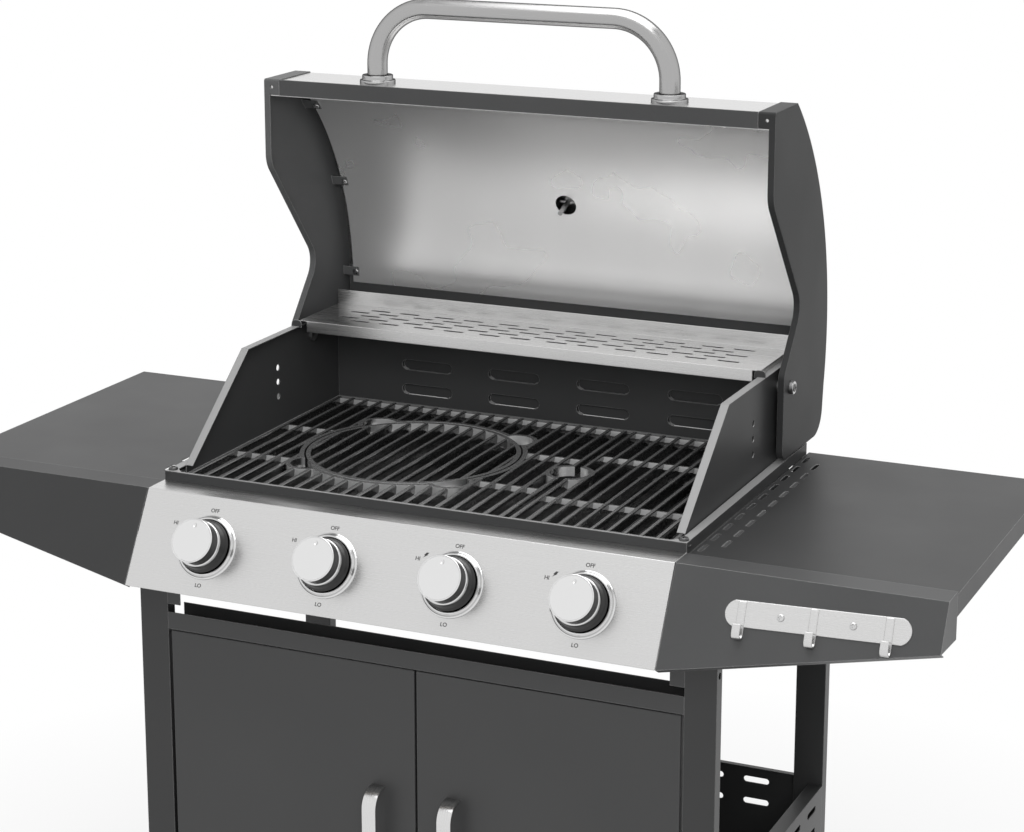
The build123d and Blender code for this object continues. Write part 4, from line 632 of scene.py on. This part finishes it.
class Pattern:
    """A Geometry Nodes tree with named sizes, run once into a plain mesh."""

    def __init__(self, name):
        self.tree = bpy.data.node_groups.new(name, "GeometryNodeTree")
        self.tree.interface.new_socket("Geometry", in_out="INPUT", socket_type="NodeSocketGeometry")
        self.tree.interface.new_socket("Geometry", in_out="OUTPUT", socket_type="NodeSocketGeometry")
        self.inlet = self.tree.nodes.new("NodeGroupInput")
        self.outlet = self.tree.nodes.new("NodeGroupOutput")
        self.sizes = {}

    def size(self, name, value, kind="Float"):
        item = self.tree.interface.new_socket(name, in_out="INPUT", socket_type="NodeSocket" + kind)
        self.sizes[item.identifier] = value
        return self.inlet.outputs[name]

    def add(self, kind, inputs, prefix="GeometryNode", **settings):
        return wired(self.tree, prefix + kind, inputs, **settings)

    def rounded(self, curve, label, radius, steps, limited=False):
        """A curve whose corners are arcs of a named size."""
        inputs = {"Curve": curve, "Radius": self.size(label, radius), "Count": steps, "Limit Radius": limited}
        return self.add("FilletCurve", inputs, mode="POLY").outputs[0]

    def bent_line(self, bend, steps):
        """The base mesh's edges as a curve with rounded bends."""
        line = self.add("MeshToCurve", {"Mesh": self.inlet.outputs["Geometry"]}).outputs[0]
        return self.rounded(line, "Bend radius", bend, steps)

    def captured(self, geometry, kind, label, value):
        """A geometry with a value kept on it, and the kept value."""
        kept = self.tree.nodes.new("GeometryNodeCaptureAttribute")
        kept.capture_items.new(kind, label)
        self.tree.links.new(geometry, kept.inputs["Geometry"])
        self.tree.links.new(value, kept.inputs[label])
        return kept.outputs["Geometry"], kept.outputs[label]

    def swept(self, curve, profile):
        """A profile swept along a curve, its own coordinates running across it and along it."""
        length = self.add("SplineParameter", {}).outputs["Length"]
        curve, along = self.captured(curve, "FLOAT", "Along", length)
        place = self.add("InputPosition", {}).outputs[0]
        profile, across = self.captured(profile, "VECTOR", "Across", place)
        inputs = {"Curve": curve, "Profile Curve": profile, "Fill Caps": True}
        mesh = self.add("CurveToMesh", inputs).outputs[0]
        apart = self.add("SeparateXYZ", {"Vector": across}, "ShaderNode").outputs
        own = self.add("CombineXYZ", {"X": apart[0], "Y": apart[1], "Z": along}, "ShaderNode").outputs[0]
        return self.add("StoreNamedAttribute", {"Geometry": mesh, "Name": "own", "Value": own},
                        data_type="FLOAT_VECTOR", domain="POINT").outputs[0]

    def made(self, name, geometry, finish, corners=()):
        """Runs the tree on a line through corners, where it needs one, and gives the plain mesh."""
        material = self.size("Finish", finish.material, "Material")
        whole = self.add("RealizeInstances", {"Geometry": geometry}).outputs[0]
        dressed = self.add("SetMaterial", {"Geometry": whole, "Material": material}).outputs[0]
        self.tree.links.new(dressed, self.outlet.inputs[0])
        base = bpy.data.meshes.new(name + "_base")
        if corners:
            base.from_pydata([Vector(corner) for corner in corners],
                             [(index, index + 1) for index in range(len(corners) - 1)], [])
        maker = bpy.data.objects.new(name + "_maker", base)
        bpy.context.scene.collection.objects.link(maker)
        modifier = maker.modifiers.new("pattern", "NODES")
        modifier.node_group = self.tree
        for identifier, value in self.sizes.items():
            modifier[identifier] = value
        return plain_mesh(maker)


def ribbed_grip(radius, count, tall, rib):
    """Fine upright ribs round a grip, centred on the origin."""
    ribs = Pattern("grip ribs")
    ring = ribs.add("MeshCircle", {"Vertices": ribs.size("Count", count, "Int"),
                                   "Radius": ribs.size("Radius", radius)}).outputs[0]
    one = ribs.add("MeshCylinder", {"Vertices": 6, "Radius": ribs.size("Rib radius", rib),
                                    "Depth": ribs.size("Rib length", tall)}).outputs[0]
    spread = ribs.add("InstanceOnPoints", {"Points": ring, "Instance": one}).outputs[0]
    return ribs.made("grip_ribs", spread, FINISH["knob_plastic"])


def bent_tube(corners, radius, bend, finish):
    """A round tube along a path with rounded bends."""
    tube = Pattern("bent tube")
    line = tube.bent_line(bend, steps=24)
    ring = tube.add("CurvePrimitiveCircle", {"Resolution": 64, "Radius": tube.size("Tube radius", radius)})
    return tube.made("bent_tube", tube.swept(line, ring.outputs[0]), finish, corners)


def bent_strap(corners, wide, thick, bend, finish):
    """A flat strap with eased edges along a path in a plane square to X."""
    strap = Pattern("bent strap")
    line = strap.bent_line(bend, steps=12)
    level = strap.add("SetCurveNormal", {"Curve": line, "Normal": X_AXIS}, mode="FREE").outputs[0]
    sides = {"Width": strap.size("Width", wide), "Height": strap.size("Thickness", thick)}
    flat = strap.add("CurvePrimitiveQuadrilateral", sides, mode="RECTANGLE").outputs[0]
    section = strap.rounded(flat, "Edge", thick * 0.3, steps=4, limited=True)
    return strap.made("bent_strap", strap.swept(level, section), finish, corners)


def marks_round(count, start, sweep, radius, long, wide, tall):
    """Dial marks on part of a circle, in the dial's own frame."""
    marks = Pattern("dial marks")
    arc = marks.add("CurveArc", {"Resolution": marks.size("Count", count, "Int"),
                                 "Radius": marks.size("Radius", radius), "Start Angle": start,
                                 "Sweep Angle": sweep}).outputs["Curve"]
    points = marks.add("CurveToPoints", {"Curve": arc}, mode="EVALUATED")
    bar = marks.add("MeshCube", {"Size": (long, wide, tall)}).outputs[0]
    turn = marks.add("AlignRotationToVector", {"Vector": marks.add("InputPosition", {}).outputs[0]},
                     "FunctionNode", axis="X", pivot_axis="Z").outputs[0]
    spread = marks.add("InstanceOnPoints", {"Points": points.outputs[0], "Instance": bar, "Rotation": turn})
    return marks.made("dial_marks", spread.outputs[0], INK)


CAPITALS = 1.38          # size of the letters for capitals 1 tall
PRINT = 0.05 * MM        # thickness of the print
BOLD = 0.1 * MM          # how much the strokes are fattened


def lettering(text, tall, seat):
    """Plain printed letters lying on a seat."""
    curve = bpy.data.curves.new("letters", "FONT")
    curve.body = text
    curve.size = tall * CAPITALS
    curve.align_x = "CENTER"
    curve.align_y = "CENTER"
    curve.extrude = PRINT
    curve.offset = BOLD
    writer = bpy.data.objects.new("letters", curve)
    bpy.context.scene.collection.objects.link(writer)
    mesh = plain_mesh(writer)
    mesh.transform(seat)
    return mesh


# ---- Knobs, bezels and printed marks ----
# Profiles are lists of (radius, height, rounding) in millimetres; heights count from the panel.
KNOB_AXIS = Vector(JOINT["knob_turn_1"]["axis"]).normalized()
PANEL_UP = KNOB_AXIS.cross(X_AXIS)
KNOB_FOOT = 7 * MM       # height of the skirt's underside over the panel
GRIP = [(0, 7, 0), (31.2, 7, 0.4), (31.2, 8.6, 0.5), (29.2, 11, 1.2), (27.7, 18.4, 0.3), (24.2, 18.6, 0),
        (24.2, 37, 0), (0, 37, 0)]
GRIP_RING = [(24.4, 18.7, 0), (27.2, 18.7, 0.3), (27.5, 19.4, 0.4), (27.5, 23.2, 0.6), (26.6, 24.2, 0.4),
             (24.4, 24.2, 0)]
CAP_TOP = 38.5
CAP = [(0, 36.9, 0), (25.2, 36.9, 0.2), (26, 37.3, 0.3), (26, 38.3, 0.35), (25.3, CAP_TOP, 0.2),
       (24.9, CAP_TOP, 0), (24.7, 38.25, 0), (24.4, 38.25, 0), (24.2, CAP_TOP, 0)]
DIMPLE = 2.5 * MM        # radius of the pointer's dimple
DIMPLE_UP = 18 * MM      # its distance from the knob's axis
DIMPLE_SHAPE = [(1.0, 0), (0.9, 0.35), (0.66, 0.8), (0.35, 1.05), (0, 1.15)]   # share of the radius, depth
BEZEL = [(7.2, 0.05, 0), (38, 0.05, 0), (38, 1.0, 0.35), (36.4, 1.7, 0.6), (35.2, 4.6, 0.4),
         (34.6, 5.0, 0.2), (34.2, 6.0, 0.4), (32.4, 6.0, 0.4), (31.8, 5.2, 0.3), (31.6, 2.2, 0.4),
         (30.6, 1.6, 0.4), (7.2, 1.6, 0)]
RIBS = 84
RIB_RADIUS = 0.62 * MM
RIB_TALL = 12.4 * MM
RIB_OUT = 24.3 * MM      # from the knob's axis to the middle of a rib
RIB_LEVEL = 30.5 * MM    # height of the middle of the ribs
WORDS = (("OFF", 0, 43.6), ("LO", 0, -45.2), ("HI", -47.5, 23.5))     # with the place from the knob's axis
WORD_TALL = 4.6 * MM
SPARK = [(0.4, 3.2), (3.6, 3.2), (1.4, 0.9), (3.0, 0.9), (-3.4, -3.2), (-0.9, -0.2), (-2.4, -0.2)]
SPARK_LEVELS = (-0.03, 0.05)
SPARK_PLACE = (-38.5, 28.5)
SPARK_KNOBS = (3, 4)
PRINT_LIFT = 0.04        # millimetres from the panel to the middle of the print


def knob_seat(number):
    """A knob's own frame: foot of the axis on the panel, Z outwards, Y up the panel."""
    return seat_on(Vector(JOINT[f"knob_turn_{number}"]["pos_m"]) - KNOB_AXIS * KNOB_FOOT, KNOB_AXIS, PANEL_UP)


def knob_body(number):
    knob = f"knob_{number}"
    ribs = ribbed_grip(RIB_OUT, RIBS, RIB_TALL, RIB_RADIUS)
    ribs.transform(Matrix.Translation((0, 0, RIB_LEVEL)))
    ribs.transform(knob_seat(number))
    grip = turned_piece("grip", filleted(GRIP), knob_seat(number))
    shown(knob + "_grip", [grip, ribs], FINISH["knob_plastic"], knob, [knob])


def knob_ring(number):
    mesh = turned_piece(f"knob_{number}_ring", filleted(GRIP_RING), knob_seat(number), ring=True)
    shown(f"knob_{number}_ring", mesh, FINISH["bezel_chrome"], f"knob_{number}")


def knob_cap(number):
    """A spun cap with a rolled edge, a fine groove and a pressed dimple as its pointer."""
    cap = bmesh.new()
    rows = turned(cap, in_mm(filleted(CAP)))
    lips = [circle(cap, DIMPLE * share, CAP_TOP * MM - depth * MM, 24, DIMPLE_UP)
            for share, depth in DIMPLE_SHAPE]
    bridged(cap, lips)
    holed(cap, rows[-1], lips[0])
    mesh = finished_mesh(f"knob_{number}_cap", cap, knob_seat(number))
    shown(f"knob_{number}_cap", mesh, CAP_METAL, f"knob_{number}", smooth=30)


def bezels():
    meshes = [turned_piece("bezel", filleted(BEZEL), knob_seat(number), ring=True) for number in KNOBS]
    shown("bezels", meshes, FINISH["bezel_chrome"], "grill_body", ["knob_bezels"], smooth=28)


def spark_mark(seat):
    """A small lightning sign."""
    sign = bmesh.new()
    capped(sign, [[sign.verts.new((x * MM, y * MM, z * MM)) for x, y in SPARK] for z in SPARK_LEVELS])
    return finished_mesh("spark", sign, seat)


def printed_marks():
    meshes = []
    for number in KNOBS:
        seat = knob_seat(number)
        for text, across, up in WORDS:
            meshes.append(lettering(text, WORD_TALL, shifted(seat, across, up, PRINT_LIFT)))
        if number in SPARK_KNOBS:
            meshes.append(spark_mark(shifted(seat, *SPARK_PLACE, PRINT_LIFT)))
    shown("panel_marks", meshes, INK, "grill_body", smooth=0)


# ---- Lid handle ----
COLLAR = [(12.6, 0, 0), (22, 0, 0), (22, 4.6, 0.9), (19.4, 5.2, 0.3), (19, 5.6, 0.3), (19, 10.6, 1.0),
          (12.6, 11, 0)]
COLLAR_RADIUS = 22 * MM
TUBE_RADIUS = 12.5 * MM
TUBE_BEND = 70.6 * MM
TUBE_LIFT = 0.4 * MM     # from the lid's skin to the ends of the tube


def lid_handle():
    low, high = corners_of("lid_handle")
    half = high.x - COLLAR_RADIUS
    level = high.z - TUBE_RADIUS
    y = (low.y + high.y) / 2
    foot = low.z + TUBE_LIFT
    path = [(-half, y, foot), (-half, y, level), (half, y, level), (half, y, foot)]
    shown("handle_tube", bent_tube(path, TUBE_RADIUS, TUBE_BEND, TUBE_METAL), None, "lid",
          ["lid_handle"], smooth=50)
    meshes = [turned_piece("collar", filleted(COLLAR), seat_on((x, y, low.z), Z_AXIS), ring=True)
              for x in (-half, half)]
    shown("handle_collars", meshes, COLLAR_METAL, "lid", smooth=28)


# ---- Door handles ----
STRAP_THICK = 3 * MM
STRAP_BEND = 20.5 * MM   # inner radius of the bend plus half the strap's thickness


def door_handle(side):
    node = side + "_door_handle"
    low, high = corners_of(node)
    middle = (low.x + high.x) / 2
    front, back = low.y + STRAP_THICK / 2, high.y
    top, foot = high.z - STRAP_THICK / 2, low.z + STRAP_THICK / 2
    path = [(middle, back, top), (middle, front, top), (middle, front, foot), (middle, back, foot)]
    mesh = bent_strap(path, high.x - low.x, STRAP_THICK, STRAP_BEND, STRAP_METAL)
    shown(node + "_strap", mesh, None, side + "_door", [node], smooth=40)


# ---- Screws, bolts and the gauge ----
BOLT_TALL = 9 * MM       # of the mounting screws, the taller ones are the tray's bolts
HINGE_BOLT_LONG = 15 * MM        # of the hinge pins' lumps, the shorter ones get no cap
BIG_FACES = 4            # faces that are kept of each lump
SCREW_SUNK = 0.2 * MM    # how far a screw's head goes into what it sits on
CAP_SUNK = 0.1 * MM      # how far a hinge cap's seat lies inside the bolt's end
RAIL_HEAD = 1.5 * MM     # height of the plain heads that the fine ones stand for
LINING_HEAD = 1.7 * MM
SHANK = [(0, 0.6), (4, 0.6), (4, 6.4), (0, 6.4)]     # radius and height in millimetres


def islands(node):
    """The separate lumps of a node, each as its box and its flat faces by size."""
    shape = merged_copy(node)
    left, lumps = set(shape.verts), []
    while left:
        queue = [left.pop()]
        lump = set(queue)
        while queue:
            for edge in queue.pop().link_edges:
                for vertex in edge.verts:
                    if vertex in left:
                        left.remove(vertex)
                        lump.add(vertex)
                        queue.append(vertex)
        low = Vector([min(v.co[i] for v in lump) for i in range(3)])
        high = Vector([max(v.co[i] for v in lump) for i in range(3)])
        faces = sorted({f for v in lump for f in v.link_faces}, key=lambda f: -f.calc_area())
        lumps.append((low, high, [(f.calc_center_bounds(), f.normal.copy()) for f in faces[:BIG_FACES]]))
    shape.free()
    return lumps


def cross_screw(radius, tall, seat, slot_long=0.58, slot_wide=0.16):
    """A pan-head screw with a cross recess."""
    head = bmesh.new()
    rows = turned(head, [(0, -SCREW_SUNK), (radius, -SCREW_SUNK), (radius, tall * 0.35),
                         (radius * 0.93, tall * 0.72), (radius * 0.78, tall * 0.94), (radius * 0.68, tall)],
                  steps=32)
    long, wide = radius * slot_long, radius * slot_wide
    plus = [(long, -wide), (long, wide), (wide, wide), (wide, long), (-wide, long), (-wide, wide),
            (-long, wide), (-long, -wide), (-wide, -wide), (-wide, -long), (wide, -long), (wide, -wide)]
    rim = [head.verts.new((x, y, tall)) for x, y in plus]
    bed = [head.verts.new((x * 0.8, y * 0.8, tall * 0.35)) for x, y in plus]
    holed(head, rows[-1], rim)
    bridged(head, [rim, bed])
    head.faces.new(bed)
    return finished_mesh("screw", head, seat)


def washer(radius, bore, thick, seat):
    disc = bmesh.new()
    turned(disc, [(bore, 0), (radius, 0), (radius, thick * 0.7), (radius * 0.96, thick), (bore, thick)],
           steps=40, ring=True)
    return finished_mesh("washer", disc, seat)


def body_screws():
    """Domed dark bolts at the tray's front corners and the two screws of the hook rail."""
    bolts, screws = [], []
    for low, high, faces in islands("mounting_screws"):
        if high.z - low.z > BOLT_TALL:
            foot = seat_on(Vector(((low.x + high.x) / 2, (low.y + high.y) / 2, low.z)), Z_AXIS)
            bolts += [washer((high.x - low.x) / 2, bore=2 * MM, thick=1.2 * MM, seat=foot),
                      turned_piece("shank", SHANK, foot, 32),
                      cross_screw(radius=5.6 * MM, tall=3.2 * MM, seat=shifted(foot, 0, 0, 6.2))]
        else:
            place, out = next(face for face in faces if face[1].y < 0)
            seat = seat_on(place - out * RAIL_HEAD, out, X_AXIS)
            screws.append(cross_screw(radius=4 * MM, tall=1.6 * MM, seat=seat))
    shown("corner_bolts", bolts, DARK_SCREW, "grill_body", ["mounting_screws"], smooth=32)
    shown("rail_screws", screws, SCREW_METAL, "grill_body", smooth=32)


def hook_bands(wide=9.4 * MM, proud=1.0 * MM, rise=18.3 * MM, half=13.4 * MM, back=5 * MM):
    """The raised band that runs down the rail into each hook."""
    boxes = {opening["name"]: opening["box_m"] for opening in frame["record"]["physics"]["openings"]}
    spots = [(Vector(boxes[f"tool_hook_{n}"][0]) + Vector(boxes[f"tool_hook_{n}"][1])) / 2 for n in (1, 2, 3)]
    along = (spots[2] - spots[0]).normalized()
    up = KNOB_AXIS.cross(along).normalized()
    meshes = []
    for spot in spots:
        band = bmesh.new()
        capped(band, [[band.verts.new((x * (wide / 2 - inset), y * (half - inset), z))
                       for x, y in ((-1, -1), (1, -1), (1, 1), (-1, 1))]
                      for inset, z in ((0, -0.3 * MM), (0, 0.1 * MM), (0.7 * MM, proud))])
        seat = seat_on(spot - KNOB_AXIS * back + up * rise, KNOB_AXIS, up)
        meshes.append(finished_mesh("band", band, seat))
    shown("hook_bands", meshes, FINISH["stainless"], "grill_body", smooth=0)


def lining_screws():
    meshes = []
    for _, _, faces in islands("liner_screws"):
        place, out = faces[0]
        seat = seat_on(place - out * LINING_HEAD, out, X_AXIS)
        meshes.append(cross_screw(radius=4 * MM, tall=1.8 * MM, seat=seat))
    shown("lining_screws", meshes, SCREW_METAL, "lid", ["liner_screws"], smooth=32)


def hinge_caps():
    """A dark cross-headed cap in a bright ring on the outside of each hinge bolt."""
    caps, rings = [], []
    for low, high, _ in islands("hinge_pins"):
        if high.x - low.x < HINGE_BOLT_LONG:
            continue
        outward = 1 if low.x > 0 else -1
        edge = high.x if outward > 0 else low.x
        place = Vector((edge, (low.y + high.y) / 2, (low.z + high.z) / 2))
        seat = seat_on(place - X_AXIS * CAP_SUNK * outward, X_AXIS * outward)
        caps.append(cross_screw(radius=5.4 * MM, tall=2.0 * MM, seat=seat))
        rings.append(washer(radius=7.4 * MM, bore=5.2 * MM, thick=0.9 * MM, seat=seat))
    shown("hinge_caps", caps, DARK_SCREW, "grill_body", smooth=32)
    shown("hinge_rings", rings, SCREW_METAL, "grill_body", smooth=32)


def cart_screws(rows=(130 * MM, 260 * MM, 380 * MM), inset=19 * MM, head=4.6 * MM, tall=1.8 * MM):
    """Pan-head screws that hold the side and back panels to the posts."""
    meshes = []
    for node in ("front_posts", "rear_posts"):
        low, high = corners_of(node)
        middle = (low.y + high.y) / 2
        for z in rows:
            for sign in (-1, 1):
                meshes.append(cross_screw(head, tall, seat_on((sign * high.x, middle, z), X_AXIS * sign)))
                if node == "rear_posts":
                    place = (sign * (high.x - inset), high.y, z)
                    meshes.append(cross_screw(head, tall, seat_on(place, Y_AXIS)))
    shown("cart_screws", meshes, DARK_SCREW, "grill_body", smooth=32)


# Half profiles of the wheel and its tyre, mirrored to the other side; profiles of the axle's nut and tip.
HUB = [(3.4, 12, 0), (8.3, 12, 0.4), (9, 11.4, 0.3), (9, 6, 0.5), (20.4, 5.2, 0.5), (21.4, 9, 0.5),
       (22.6, 9.6, 0.3), (24.2, 9.6, 0.2), (24.2, 6, 0)]
TYRE = [(23.8, 9.8, 0), (24.3, 10.8, 0.4), (28.4, 10.8, 1.4), (30, 8.6, 1.2), (30, 3.4, 0.2),
        (29.2, 2.9, 0.2), (29.2, 0.4, 0)]
AXLE_NUT = [(0, -0.2), (5.6, -0.2), (5.6, 2.5), (4.9, 3.1), (0, 3.1)]
AXLE_TIP = [(0, 3.0), (2.6, 3.0), (2.6, 4.0), (2.0, 4.6), (0, 4.8)]
SPOKES = 6
SPOKE_SIZE = (13 * MM, 2.6 * MM, 3 * MM)
SPOKE_OUT = 14.9 * MM    # from the axle to the middle of a spoke
SPOKE_ASIDE = 6.2 * MM   # from the middle of the wheel


def add_spokes(shape):
    for index in range(SPOKES):
        turn = Matrix.Rotation(2 * math.pi * index / SPOKES, 4, "Z")
        for side in (-1, 1):
            spot = turn @ Matrix.Translation((SPOKE_OUT, 0, side * SPOKE_ASIDE))
            spot @= Matrix.Diagonal((*SPOKE_SIZE, 1))
            bmesh.ops.create_cube(shape, size=1, matrix=spot)


def caster(number):
    """A spoked wheel with a grooved tyre, and the nuts on its axle."""
    node, fork = f"caster_wheel_{number}", f"caster_fork_{number}"
    low, high = corners_of(node)
    middle = (low + high) / 2
    for label, half, finish, nodes in (("wheel", HUB, FINISH["wheel_plastic"], [node]),
                                       ("tyre", TYRE, TYRE_RUBBER, [])):
        shape = bmesh.new()
        profile = filleted(half + [(radius, -height, rounding) for radius, height, rounding in half[::-1]])
        turned(shape, in_mm(profile), 64, ring=True)
        if label == "wheel":
            add_spokes(shape)
        mesh = finished_mesh(label, shape, seat_on(middle, X_AXIS))
        shown(f"caster_{number}_{label}", mesh, finish, BODY_OF[node], nodes, smooth=34)
    low, high = corners_of(fork)
    nuts = []
    for sign, edge in ((-1, low.x), (1, high.x)):
        foot = seat_on((edge, middle.y, middle.z), X_AXIS * sign)
        nuts += [turned_piece("nut", AXLE_NUT, foot, 6), turned_piece("tip", AXLE_TIP, foot, 24)]
    shown(f"caster_{number}_nuts", nuts, SCREW_METAL, BODY_OF[fork], smooth=32)


# The dial's sizes are in millimetres; its angles count from its right side.
DIAL_START, DIAL_SWEEP = math.radians(225), math.radians(-270)
DIAL_EDGE = 22.4         # outer ends of the marks
DIAL_MARKS = ((7, 4.0, 0.8), (31, 2.0, 0.4))     # count, length, width
MARK_TALL = 0.06
DIAL_LIFT = 0.24         # from the gauge's face to the middle of the marks
DIAL_NUMBERS = range(50, 351, 50)
NUMBER_TALL = 2.5
NUMBER_OUT = 14.6        # from the gauge's middle
PLATE = [(0, -0.1), (24.4, -0.1), (24.4, 0.2), (0, 0.2)]
NEEDLE_HUB = [(0, 0.2), (2.2, 0.2), (2.2, 0.7), (1.6, 1.0), (0, 1.0)]
NEEDLE = ((-5, -0.7), (17, -0.25), (17, 0.25), (-5, 0.7))        # along, across
NEEDLE_LEVELS = (0.45, 0.65)


def gauge_dial():
    """The face of the gauge on the outside of the lid: plate, marks, numbers and needle."""
    biggest = max(islands("thermometer"), key=lambda lump: (lump[1] - lump[0]).length)
    place, out = max(biggest[2], key=lambda face: face[0].dot(face[1]))
    seat = seat_on(Vector((0, place.y, place.z)), out)
    shown("gauge_plate", turned_piece("gauge_plate", PLATE, seat, 72), DIAL_PAINT, "lid")
    lift = shifted(seat, 0, 0, DIAL_LIFT)
    meshes = []
    for count, long, wide in DIAL_MARKS:
        marks = marks_round(count, DIAL_START, DIAL_SWEEP, (DIAL_EDGE - long / 2) * MM, long * MM, wide * MM,
                            MARK_TALL * MM)
        marks.transform(lift)
        meshes.append(marks)
    for index, value in enumerate(DIAL_NUMBERS):
        angle = DIAL_START + DIAL_SWEEP * index / (len(DIAL_NUMBERS) - 1)
        spot = shifted(lift, NUMBER_OUT * math.cos(angle), NUMBER_OUT * math.sin(angle), 0)
        meshes.append(lettering(str(value), NUMBER_TALL * MM, spot))
    shown("gauge_marks", meshes, INK, "lid", smooth=0)
    needle = bmesh.new()
    turned(needle, in_mm(NEEDLE_HUB), 32)
    along = Vector((math.cos(DIAL_START), math.sin(DIAL_START), 0))
    across = Vector((-along.y, along.x, 0))
    capped(needle, [[needle.verts.new(along * a * MM + across * c * MM + Z_AXIS * z * MM) for a, c in NEEDLE]
                    for z in NEEDLE_LEVELS])
    shown("gauge_needle", finished_mesh("gauge_needle", needle, seat), DARK_SCREW, "lid")


for number in KNOBS:
    knob_body(number)
    knob_ring(number)
    knob_cap(number)
bezels()
printed_marks()
lid_handle()
for side in ("left", "right"):
    door_handle(side)
body_screws()
hook_bands()
lining_screws()
hinge_caps()
gauge_dial()
cart_screws()
for number in CASTERS:
    caster(number)
